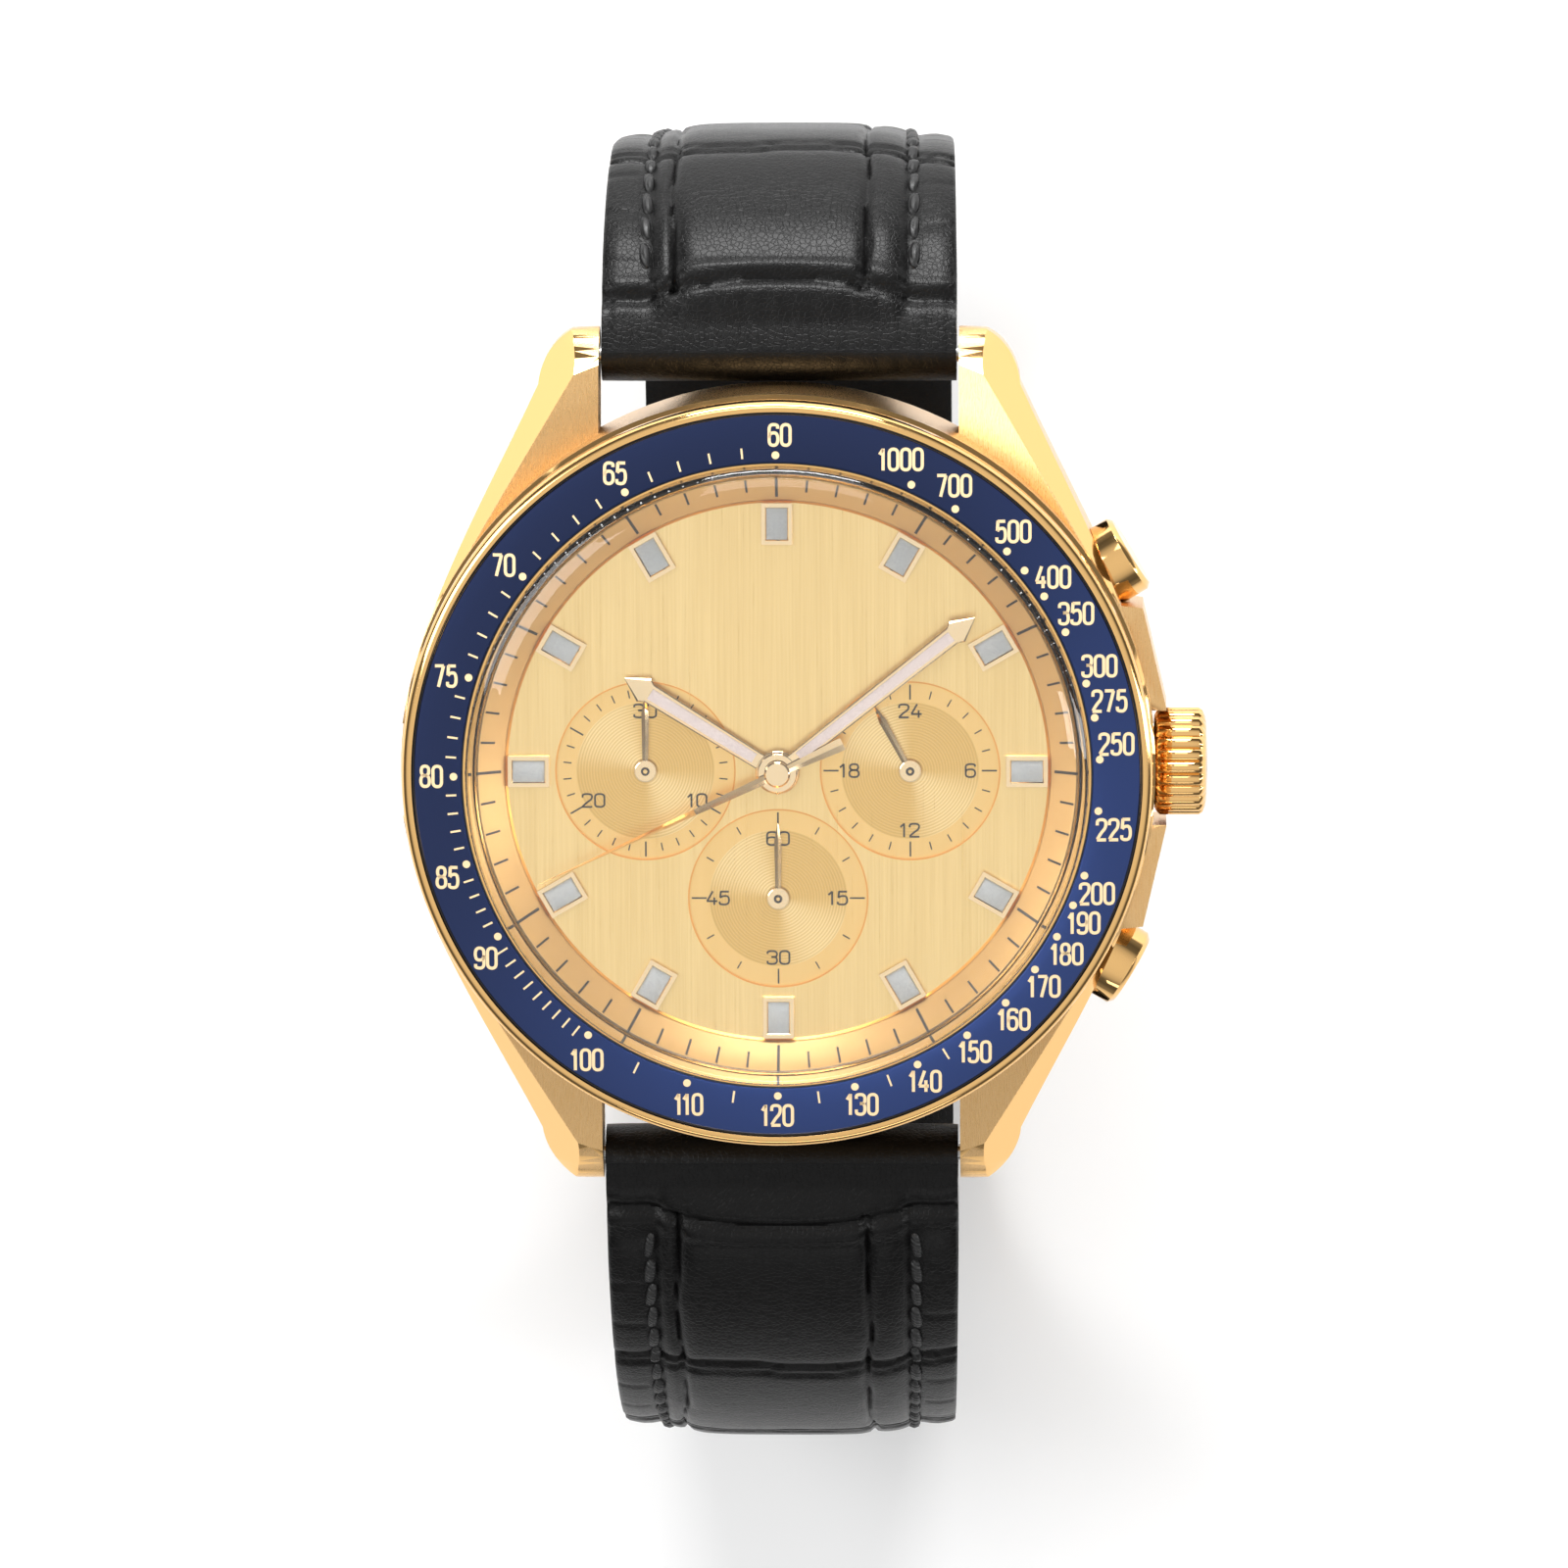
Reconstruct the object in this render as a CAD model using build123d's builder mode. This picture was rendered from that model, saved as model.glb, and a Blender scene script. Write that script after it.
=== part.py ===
"""A chronograph wristwatch, dial up on its closed strap, in millimetres.

+Z is the dial axis, +X points to the crown and +Y to 12 o'clock. The underside of the closed strap's keepers
lies on z = 0. Heights inside the case are counted from the underside of the case back, at case_back_z.
"""

import math
import os

from build123d import *

os.makedirs("parts", exist_ok=True)

# ---- driving dimensions: the whole watch ----
case_back_z = 46.0          # underside of the case back above the resting plane
body_radius = 20.9          # round body of the case
lug_gap = 20.0              # standard strap width between the lugs
lug_reach = 24.0            # dial axis to a lug's tip, half of the lug-to-lug length
bezel_radius = 20.75
crown_radius = 3.0
pusher_radius = 2.25
pusher_angle = 31.0         # each pusher's axis is turned this far from the crown's
strap_reach_12 = 34.1       # dial axis to the outside of the strap past 12 o'clock
strap_reach_6 = 42.5        # and past 6 o'clock
movement_radius = 15.0      # 30 mm movement, 13 1/4 lignes
glass_radius = 17.2

# ---- named clearances ----
running = 0.03              # radial gap of a pivot or shaft in its hole
sliding = 0.05              # gap beside a piece that slides
working = 0.05              # gap between wheels and levers that pass each other
soft_gap = 0.2              # leather beside its neighbours

# ---- heights above the underside of the case back ----
back_thick = 1.0
body_top = 8.6
neck_top = 10.0
crown_height = 4.6          # axis of crown, stem and pushers
bridge_low = 2.5            # the bridges' outer faces
bridge_thick = 0.45
plate_low = 5.4             # main plate, from its bridge side to its dial side
plate_high = 7.0
dial_low = 7.9
dial_thick = 0.4
dial_high = dial_low + dial_thick
marker_high = dial_high + 0.35
bar_height = 2.0            # spring bars

# ---- the case and what closes it ----
neck_radius = glass_radius + 1.1
neck_bore = glass_radius + 0.3
case_bore = movement_radius + 2.1
thread_radius = case_bore + 0.6
thread_deep = 1.3
body_edge = 0.5
guard_reach = body_radius + 0.6
guard_half = 8.9
crown_recess_half = 3.2
crown_seat = body_radius - 0.2           # flat of the case behind the crown
tube_radius = 1.5
tube_bore = 0.9
pusher_seat = body_radius - 1.3          # floor of each pusher's counterbore
bezel_high = 10.75
insert_floor = 10.1
insert_outer = bezel_radius - 0.7
insert_inner = glass_radius + 0.15
chapter_inner = 15.03
chapter_high = 9.65
back_radius = thread_radius + 1.2
gasket_width = 0.6
gasket_thick = 0.5

# ---- lugs and strap bars ----
bar_y = lug_reach - 1.5
bar_radius = 0.75
pin_radius = 0.45
pin_deep = 1.1

# ---- crown and pushers ----
crown_length = 3.0
crown_gap = 0.1             # crown to case when pushed in
flutes = 24
stem_radius = 0.45
rod_radius = 0.7
rod_inner = movement_radius + 0.3            # inner end of each pusher's rod, from the dial axis
pusher_out = body_radius + 1.9
pusher_travel = 1.0

# ---- the train: teeth, modules and places ----
barrel_teeth, centre_pinion_teeth, barrel_module = 84, 12, 0.14
centre_teeth, third_pinion_teeth, centre_module = 64, 8, 0.13
third_teeth, fourth_pinion_teeth, third_module = 60, 8, 0.12
fourth_teeth, escape_pinion_teeth, fourth_module = 60, 6, 0.10
cannon_teeth, minute_teeth, cannon_module = 12, 36, 0.125
minute_pinion_teeth, hour_teeth, motion_module = 10, 40, 0.12
day_pinion_teeth = 20
runner_pinion_teeth, counter_teeth, counter_pinion_teeth = 12, 60, 10
ratchet_teeth, crown_wheel_teeth = 60, 34
winding_teeth = 14
sub_dial_side = 7.3         # dial axis to the left and right sub-dials
sub_dial_low = 7.1          # and to the one at 6 o'clock
sub_dial_radius = 4.93
barrel_angle = 68.0
escape_angle = 200.0
lever_angle = 150.0
escape_radius = 2.3
lever_length = 3.3          # pallet axis to balance axis
balance_radius = 4.0

# ---- strap, buckle and keepers ----
strap_width = lug_gap - 0.3
strap_tip_width = strap_width - 1.7
strap_thick = 3.2
strap_thin = 2.0
strap_end_thick = 4.4
keeper_thick = 1.0
keeper_long = 4.0
frame_bar = 0.7
floor_gap = 0.1


def turned(radius, angle):
    """Point of the dial plane at a radius and an angle in degrees from +X."""
    return (radius * math.cos(math.radians(angle)), radius * math.sin(math.radians(angle)))


def upright(place=(0.0, 0.0)):
    """Plane of an axis square to the dial, with its origin at the case back's underside."""
    return Plane((place[0], place[1], case_back_z))


def outward(angle):
    """Plane of an axis that leaves the case sideways, at the height of the crown."""
    direction = turned(1.0, angle)
    return Plane(
        origin=(0, 0, case_back_z + crown_height),
        x_dir=(-direction[1], direction[0], 0),
        z_dir=(direction[0], direction[1], 0),
    )


def bar(axis, start, end, radius, bore=0.0, mode=Mode.ADD):
    """Round bar or ring along an axis, between two distances on it."""
    with BuildSketch(axis.offset(start)) as outline:
        Circle(radius)
        if bore > 0:
            Circle(bore, mode=Mode.SUBTRACT)
    extrude(outline.sketch, amount=end - start, mode=mode)


def slab(axis, start, end, corners, mode=Mode.ADD):
    """Straight-sided plate along an axis, between two distances on it."""
    with BuildSketch(axis.offset(start)) as outline:
        with BuildLine():
            Polyline(*corners, close=True)
        make_face()
    extrude(outline.sketch, amount=end - start, mode=mode)


def arm(axis, start, end, points, width, mode=Mode.ADD):
    """Flat lever or bar with round ends through a row of points."""
    with BuildSketch(axis.offset(start)) as outline:
        for first, second in zip(points, points[1:]):
            across, along = second[0] - first[0], second[1] - first[1]
            middle = ((first[0] + second[0]) / 2, (first[1] + second[1]) / 2)
            with Locations(middle):
                SlotCenterToCenter(
                    math.hypot(across, along), width, rotation=math.degrees(math.atan2(along, across))
                )
    extrude(outline.sketch, amount=end - start, mode=mode)


def toothed(axis, start, end, teeth, module, first=0.0, mode=Mode.ADD):
    """Wheel or pinion with straight-flanked teeth; first is the angle of one tooth."""
    pitch_radius = teeth * module / 2
    step = 360 / teeth
    flank = (
        (pitch_radius - 1.15 * module, -0.27),
        (pitch_radius + 0.75 * module, -0.11),
        (pitch_radius + 0.75 * module, 0.11),
        (pitch_radius - 1.15 * module, 0.27),
    )
    corners = []
    for tooth in range(teeth):
        for radius, share in flank:
            corners.append(turned(radius, first + (tooth + share) * step))
    slab(axis, start, end, corners, mode)


def meshed(first, teeth, next_teeth, angle):
    """Angle of a tooth of the next wheel, which lies at an angle from the wheel before it."""
    passed = ((angle - first) * teeth / 360) % 1
    return angle + 180 - (0.5 - passed) * 360 / next_teeth


def between(first, second):
    """Distance and angle from one place to another."""
    across, along = second[0] - first[0], second[1] - first[1]
    return math.hypot(across, along), math.degrees(math.atan2(along, across))


def third_corner(first, second, from_first, from_second, side):
    """Place at two given distances from two places, on one side of the line between them."""
    apart, angle = between(first, second)
    along = (apart**2 + from_first**2 - from_second**2) / (2 * apart)
    across = side * math.sqrt(from_first**2 - along**2)
    unit = turned(1.0, angle)
    return (
        first[0] + along * unit[0] - across * unit[1],
        first[1] + along * unit[1] + across * unit[0],
    )


def beyond(place, radius, angle):
    """Place at a distance and an angle from another."""
    step = turned(radius, angle)
    return (place[0] + step[0], place[1] + step[1])


def wheel_gap(teeth, next_teeth, module):
    """Distance between the axes of two wheels in mesh."""
    return (teeth + next_teeth) * module / 2


# ---- where the axes stand ----
centre = (0.0, 0.0)
counter_place = (-sub_dial_side, 0.0)
day_place = (sub_dial_side, 0.0)
seconds_place = (0.0, -sub_dial_low)
barrel_place = turned(wheel_gap(barrel_teeth, centre_pinion_teeth, barrel_module), barrel_angle)
third_place = third_corner(
    centre,
    seconds_place,
    wheel_gap(centre_teeth, third_pinion_teeth, centre_module),
    wheel_gap(third_teeth, fourth_pinion_teeth, third_module),
    1,
)
escape_place = beyond(
    seconds_place, wheel_gap(fourth_teeth, escape_pinion_teeth, fourth_module), escape_angle
)
pallet_place = beyond(escape_place, escape_radius / math.cos(math.radians(30)), lever_angle)
balance_place = beyond(pallet_place, lever_length, lever_angle)
minute_wheel_place = (0.0, -wheel_gap(cannon_teeth, minute_teeth, cannon_module))
day_middle_place = third_corner(
    centre,
    day_place,
    wheel_gap(hour_teeth, hour_teeth, motion_module),
    wheel_gap(day_pinion_teeth, hour_teeth, motion_module),
    1,
)
counter_middle_place = third_corner(
    centre,
    counter_place,
    wheel_gap(runner_pinion_teeth, counter_teeth, motion_module),
    wheel_gap(counter_pinion_teeth, counter_teeth, motion_module),
    -1,
)
crown_wheel_place = (9.2, 0.0)
winding_gap, winding_angle = between(crown_wheel_place, barrel_place)
winding_module = 2 * winding_gap / (ratchet_teeth + crown_wheel_teeth)
crown_wheel_radius = crown_wheel_teeth * winding_module / 2
winding_radius = winding_teeth * winding_module / 2 - 0.2
column_place = (9.4, 7.4)
operating_pivot = (12.3, 3.4)
hammer_pivot = (12.3, -3.4)
click_place = beyond(barrel_place, 8.0, 118.0)
pusher_planes = (outward(pusher_angle), outward(-pusher_angle))
crown_axis = outward(0.0)
bridge_high = bridge_low + bridge_thick
arbor_radius = 0.12
pivot_radius = 0.10
jewel_radius = 0.45
jewel_thick = 0.3
movement_edge = movement_radius - 0.8

# ---- case middle ----
outline_y = (2.6, 6.8, 10.5, 15.6, 20.9)
outline_x = (20.8, 19.8, 18.4, 16.0, 13.4)
lug_scale = lug_reach / 24.0
tip_y = lug_reach
lug_side = body_radius - 20.9 + (lug_gap - 20.0) / 2

with BuildPart() as lug:
    with BuildSketch(upright().offset(-1)) as lug_plan:
        with BuildLine():
            flank_line = Spline(
                *[(x + lug_side, y * lug_scale) for x, y in zip(outline_x, outline_y)]
            )
            tip_corner = (lug_gap / 2 + 1.5, tip_y - 0.1)
            tip_curve = ThreePointArc(flank_line @ 1, (lug_gap / 2 + 2.6, tip_y - 1.05), tip_corner)
            Polyline(tip_curve @ 1, (lug_gap / 2, tip_y), (lug_gap / 2, 2.6), flank_line @ 0)
        make_face()
    extrude(amount=body_top + 1)
    with BuildSketch(Plane.YZ) as lug_profile:
        with BuildLine():
            top_line = Spline(
                (2.0, case_back_z + body_top - 0.3),
                (tip_y - 10.0, case_back_z + 7.5),
                (tip_y - 4.0, case_back_z + 5.6),
                (tip_y - 0.7, case_back_z + 2.9),
            )
            nose = ThreePointArc(
                top_line @ 1,
                (tip_y, case_back_z + 1.5),
                (tip_y - 0.8, case_back_z + 0.1),
            )
            bottom_line = Spline(
                nose @ 1,
                (tip_y - 4.5, case_back_z + 0.7),
                (tip_y - 9.0, case_back_z + back_thick + 0.2),
            )
            Polyline(bottom_line @ 1, (2.0, case_back_z + back_thick + 0.2), top_line @ 0)
        make_face()
    extrude(amount=body_radius + 2, mode=Mode.INTERSECT)
    crease_low = Vector(lug_gap / 2 + 1.35, tip_y - 2.4, case_back_z + 4.55)
    crease_high = Vector(body_radius - 2.2, tip_y - 14.6, case_back_z + 8.0)
    flank_foot = Vector(lug_gap / 2 + 3.3, tip_y - 2.4, case_back_z + 2.5)
    inner_foot = Vector(lug_gap / 2, tip_y - 2.4, case_back_z + 4.2)
    along_crease = crease_high - crease_low
    bevel_normal = (flank_foot - crease_low).cross(along_crease)
    facet_normal = along_crease.cross(inner_foot - crease_low)
    split(
        bisect_by=Plane(crease_low, x_dir=along_crease, z_dir=bevel_normal),
        keep=Keep.BOTTOM if bevel_normal.Z > 0 else Keep.TOP,
    )
    split(
        bisect_by=Plane(crease_low, x_dir=along_crease, z_dir=facet_normal),
        keep=Keep.BOTTOM if facet_normal.Z > 0 else Keep.TOP,
    )

with BuildPart() as case_middle:
    bar(upright(), back_thick, body_top, body_radius)
    chamfer(edges().filter_by(GeomType.CIRCLE), length=body_edge)
    slab(
        upright(),
        back_thick + 1.2,
        body_top - 1.2,
        (
            (body_radius - 6, -guard_half - 0.6),
            (body_radius - 0.7, -guard_half),
            (guard_reach, -crown_recess_half - 0.1),
            (guard_reach, crown_recess_half + 0.1),
            (body_radius - 0.7, guard_half),
            (body_radius - 6, guard_half + 0.6),
        ),
    )
    add(lug.part)
    mirror(lug.part, about=Plane.XZ)
    mirror(lug.part, about=Plane.YZ)
    mirror(mirror(lug.part, about=Plane.YZ, mode=Mode.PRIVATE), about=Plane.XZ)
    bar(upright(), body_top - 1, neck_top, neck_radius)
    bar(upright(), back_thick - 2, neck_top + 1, case_bore, mode=Mode.SUBTRACT)
    bar(upright(), back_thick - 2, back_thick + thread_deep, thread_radius, mode=Mode.SUBTRACT)
    bar(upright(), dial_high, neck_top + 1, neck_bore, mode=Mode.SUBTRACT)
    bar(
        upright(),
        back_thick,
        back_thick + gasket_thick,
        thread_radius + 0.2 + gasket_width,
        thread_radius + 0.2,
        mode=Mode.SUBTRACT,
    )
    slab(
        upright(),
        -1,
        body_top - body_edge,
        (
            (crown_seat, -crown_recess_half),
            (crown_seat + 4, -crown_recess_half),
            (crown_seat + 4, crown_recess_half),
            (crown_seat, crown_recess_half),
        ),
        mode=Mode.SUBTRACT,
    )
    bar(crown_axis, case_bore - 1, crown_seat + 1, tube_radius, mode=Mode.SUBTRACT)
    for pusher_plane in pusher_planes:
        bar(pusher_plane, case_bore - 1, pusher_seat + 1, tube_radius, mode=Mode.SUBTRACT)
        bar(pusher_plane, pusher_seat, pusher_seat + 8, pusher_radius + 0.1, mode=Mode.SUBTRACT)
    for bar_side in (-bar_y, bar_y):
        with BuildSketch(Plane.YZ.offset(-lug_gap / 2 - pin_deep - 0.1)) as bar_hole:
            with Locations((bar_side, case_back_z + bar_height)):
                Circle(pin_radius + 0.02)
        extrude(bar_hole.sketch, amount=lug_gap + 2 * pin_deep + 0.2, mode=Mode.SUBTRACT)
case_middle.part.label = "case_middle"
export_step(case_middle.part, "parts/case_middle.step")

# ---- bezel, insert, glass and case back ----
with BuildPart() as bezel_ring:
    with BuildSketch(Plane.XZ):
        with BuildLine():
            Polyline(
                (neck_radius + running, case_back_z + body_top),
                (bezel_radius - 0.3, case_back_z + body_top),
                (bezel_radius, case_back_z + body_top + 0.35),
                (bezel_radius, case_back_z + bezel_high - 0.4),
                (bezel_radius - 0.25, case_back_z + bezel_high),
                (insert_outer + sliding, case_back_z + bezel_high),
                (insert_outer + sliding, case_back_z + insert_floor),
                (neck_radius + running, case_back_z + insert_floor),
                close=True,
            )
        make_face()
    revolve(axis=Axis.Z)
bezel_ring.part.label = "bezel_ring"
export_step(bezel_ring.part, "parts/bezel_ring.step")

with BuildPart() as bezel_insert:
    with BuildSketch(Plane.XZ):
        with BuildLine():
            Polyline(
                (insert_inner, case_back_z + insert_floor),
                (insert_outer, case_back_z + insert_floor),
                (insert_outer, case_back_z + bezel_high - 0.1),
                (insert_inner, case_back_z + bezel_high + 0.25),
                close=True,
            )
        make_face()
    revolve(axis=Axis.Z)
bezel_insert.part.label = "bezel_insert"
export_step(bezel_insert.part, "parts/bezel_insert.step")

glass_wall = 1.2
glass_shoulder = 11.3
glass_high = 12.9


def dome_middle(edge_radius, edge_height, top_height):
    """Point halfway along a dome's arc whose top lies on the dial axis."""
    rise = top_height - edge_height
    sphere = (edge_radius**2 + rise**2) / (2 * rise)
    half_angle = math.asin(edge_radius / sphere) / 2
    return (sphere * math.sin(half_angle), case_back_z + top_height - sphere * (1 - math.cos(half_angle)))


with BuildPart() as crystal:
    with BuildSketch(Plane.XZ):
        with BuildLine():
            foot = Polyline(
                (glass_radius - glass_wall, case_back_z + chapter_high),
                (glass_radius, case_back_z + chapter_high),
                (glass_radius, case_back_z + glass_shoulder),
            )
            round_edge = ThreePointArc(
                foot @ 1,
                (glass_radius - 0.25, case_back_z + glass_shoulder + 0.5),
                (glass_radius - 0.9, case_back_z + glass_shoulder + 0.75),
            )
            dome = ThreePointArc(
                round_edge @ 1,
                dome_middle(glass_radius - 0.9, glass_shoulder + 0.75, glass_high),
                (0, case_back_z + glass_high),
            )
            middle = Line(dome @ 1, (0, case_back_z + glass_high - glass_wall))
            inside = ThreePointArc(
                middle @ 1,
                dome_middle(glass_radius - 1.9, glass_shoulder - 0.35, glass_high - glass_wall),
                (glass_radius - 1.9, case_back_z + glass_shoulder - 0.35),
            )
            Polyline(
                inside @ 1,
                (glass_radius - glass_wall, case_back_z + glass_shoulder - 0.9),
                foot @ 0,
            )
        make_face()
    revolve(axis=Axis.Z)
crystal.part.label = "crystal"
export_step(crystal.part, "parts/crystal.step")

with BuildPart() as chapter_ring:
    with BuildSketch(Plane.XZ):
        with BuildLine():
            Polyline(
                (chapter_inner, case_back_z + dial_high),
                (neck_bore - running, case_back_z + dial_high),
                (neck_bore - running, case_back_z + chapter_high),
                (glass_radius - 0.2, case_back_z + chapter_high),
                (chapter_inner, case_back_z + dial_high + 0.15),
                close=True,
            )
        make_face()
    revolve(axis=Axis.Z)
chapter_ring.part.label = "chapter_ring"
export_step(chapter_ring.part, "parts/chapter_ring.step")

notch_count = 6
with BuildPart() as case_back:
    bar(upright(), 0, back_thick, back_radius)
    chamfer(edges().filter_by(GeomType.CIRCLE).sort_by(Axis.Z)[0], length=0.4)
    rim_radius = thread_radius - sliding
    bar(upright(), back_thick, back_thick + thread_deep - 0.1, rim_radius, case_bore - 0.3)
    with PolarLocations(back_radius, notch_count):
        with Locations((0, 0, case_back_z)):
            Box(2.4, 2.6, 1.0, mode=Mode.SUBTRACT)
case_back.part.label = "case_back"
export_step(case_back.part, "parts/case_back.step")

with BuildPart() as case_gaskets:
    bar(upright(), chapter_high, insert_floor, neck_bore, glass_radius)
    bar(
        upright(),
        back_thick,
        back_thick + gasket_thick,
        thread_radius + 0.15 + gasket_width,
        thread_radius + 0.25,
    )
case_gaskets.part.label = "case_gaskets"
export_step(case_gaskets.part, "parts/case_gaskets.step")

# ---- crown and pushers ----
crown_start = crown_seat + crown_gap
crown_end = crown_start + crown_length
tube_end = crown_start + 1.3
crown_wall = 0.9
with BuildPart() as crown:
    with BuildSketch(crown_axis.offset(crown_start)) as crown_outline:
        Circle(crown_radius)
        with PolarLocations(crown_radius, flutes):
            Circle(crown_radius * 0.065, mode=Mode.SUBTRACT)
    extrude(crown_outline.sketch, amount=crown_length)
    chamfer(edges().group_by(Axis.X)[-1], length=0.25)
    bar(crown_axis, crown_start, crown_end - crown_wall, tube_radius + 0.5, mode=Mode.SUBTRACT)
    bar(crown_axis, crown_end - crown_wall - 0.8, crown_end - crown_wall, 0.75)
    bar(crown_axis, crown_start, crown_end - crown_wall + 0.3, stem_radius, mode=Mode.SUBTRACT)
    bar(crown_axis, crown_start + 0.2, crown_start + 0.9, tube_radius + 0.45, tube_radius + running)
crown.part.label = "crown"
export_step(crown.part, "parts/crown.step")

# the stem turns the winding pinions through its square, drawn here as a flat on a round
winding_x = crown_wheel_place[0] + crown_wheel_radius
stem_inner = winding_x - 2.9
groove_x = winding_x + 1.5
lever_pivot = (groove_x + 0.3, -2.9)
with BuildPart() as winding_stem:
    bar(crown_axis, stem_inner, crown_end - crown_wall + 0.3, stem_radius)
    bar(crown_axis, groove_x - 0.25, groove_x + 0.25, stem_radius + 0.1, 0.3, mode=Mode.SUBTRACT)
winding_stem.part.label = "winding_stem"
export_step(winding_stem.part, "parts/winding_stem.step")

with BuildPart() as winding_pinions:
    toothed(crown_axis, winding_x - 0.3, winding_x + 0.55, winding_teeth, winding_module * 0.9)
    bar(crown_axis, winding_x - 0.4, winding_x + 0.7, stem_radius + sliding, mode=Mode.SUBTRACT)
    bar(crown_axis, winding_x - 2.4, winding_x - 0.6, 0.85)
    bar(crown_axis, winding_x - 1.8, winding_x - 1.3, 1.0, 0.6, mode=Mode.SUBTRACT)
    toothed(crown_axis, winding_x - 1.0, winding_x - 0.35, winding_teeth, 0.14)
    bar(crown_axis, winding_x - 2.5, winding_x, stem_radius + sliding, mode=Mode.SUBTRACT)
winding_pinions.part.label = "winding_pinions"
export_step(winding_pinions.part, "parts/winding_pinions.step")

pusher_tube_end = pusher_seat + 0.6
clip_seat = case_bore - 0.1
with BuildPart() as start_pusher:
    push_axis = pusher_planes[0]
    bar(push_axis, pusher_seat + pusher_travel + 0.1, pusher_out, pusher_radius)
    chamfer(edges().filter_by(GeomType.CIRCLE), length=0.25)
    bar(push_axis, pusher_seat, pusher_out - 0.8, tube_radius + 0.1, mode=Mode.SUBTRACT)
    bar(push_axis, rod_inner, pusher_out - 0.6, rod_radius)
    bar(push_axis, clip_seat - 0.3, clip_seat, rod_radius + 0.1, rod_radius - 0.2, mode=Mode.SUBTRACT)
    with BuildSketch(push_axis.offset(clip_seat - 0.3)):
        Circle(rod_radius + 0.5)
        Circle(rod_radius - 0.2, mode=Mode.SUBTRACT)
        with Locations((0, -rod_radius)):
            Rectangle(0.8, 2 * rod_radius, mode=Mode.SUBTRACT)
    extrude(amount=0.3)
start_pusher.part.label = "start_pusher"
export_step(start_pusher.part, "parts/start_pusher.step")

with BuildPart() as reset_pusher:
    mirror(start_pusher.part, about=Plane.XZ)
reset_pusher.part.label = "reset_pusher"
export_step(reset_pusher.part, "parts/reset_pusher.step")

with BuildPart() as case_tubes:
    bar(crown_axis, case_bore, tube_end, tube_radius, 0.8)
    for pusher_plane in pusher_planes:
        bar(pusher_plane, case_bore, pusher_tube_end, tube_radius, tube_bore)
case_tubes.part.label = "case_tubes"
export_step(case_tubes.part, "parts/case_tubes.step")

spring_wire = 0.12
spring_radius = 1.1
spring_start = pusher_tube_end + spring_wire
spring_long = pusher_out - 0.8 - pusher_tube_end - 2 * spring_wire
with BuildPart() as start_pusher_spring:
    with BuildLine() as spring_line:
        Helix(
            pitch=spring_long / 4,
            height=spring_long,
            radius=spring_radius,
            center=pusher_planes[0].offset(spring_start).origin,
            direction=pusher_planes[0].z_dir,
        )
    with BuildSketch(Plane(origin=spring_line.line @ 0, z_dir=spring_line.line % 0)):
        Circle(spring_wire)
    sweep(path=spring_line.line)
start_pusher_spring.part.label = "start_pusher_spring"
export_step(start_pusher_spring.part, "parts/start_pusher_spring.step")

with BuildPart() as reset_pusher_spring:
    mirror(start_pusher_spring.part, about=Plane.XZ)
reset_pusher_spring.part.label = "reset_pusher_spring"
export_step(reset_pusher_spring.part, "parts/reset_pusher_spring.step")

# ---- movement frame ----
pillar_radius = 0.7
barrel_pillars = ((-4.8, 11.5), (7.8, 11.2))
train_pillars = ((7.2, -9.6), (-1.5, -12.6))
cock_foot = beyond(balance_place, 5.2, between(centre, balance_place)[1] - 90)
pallet_foot = beyond(pallet_place, 5.0, lever_angle + 90)
runner_feet = ((-9.4, 6.2), (1.6, -6.0))
screw_places = (*barrel_pillars, *train_pillars, cock_foot)
screw_head = 0.75
screw_shank = 0.4
clamp_angles = (90.0, 200.0, 285.0)
clamp_thick = 0.3
holder_outer = case_bore - 0.1
holder_inner = movement_radius + running

with BuildPart() as movement_holder:
    bar(upright(), plate_low, dial_low, holder_outer, holder_inner)
    for pusher_plane in pusher_planes:
        bar(pusher_plane, movement_radius - 1, case_bore + 1, tube_radius, mode=Mode.SUBTRACT)
    for clamp_angle in clamp_angles:
        clamp_middle = turned(movement_radius, clamp_angle)
        with BuildSketch(upright().offset(plate_low - clamp_thick)) as clamp_plan:
            with Locations(clamp_middle):
                SlotOverall(3.6, 1.8, rotation=clamp_angle)
            with Locations(turned(movement_radius - 0.8, clamp_angle)):
                Circle(screw_shank, mode=Mode.SUBTRACT)
        extrude(clamp_plan.sketch, amount=clamp_thick)
movement_holder.part.label = "movement_holder"
export_step(movement_holder.part, "parts/movement_holder.step")

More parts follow.
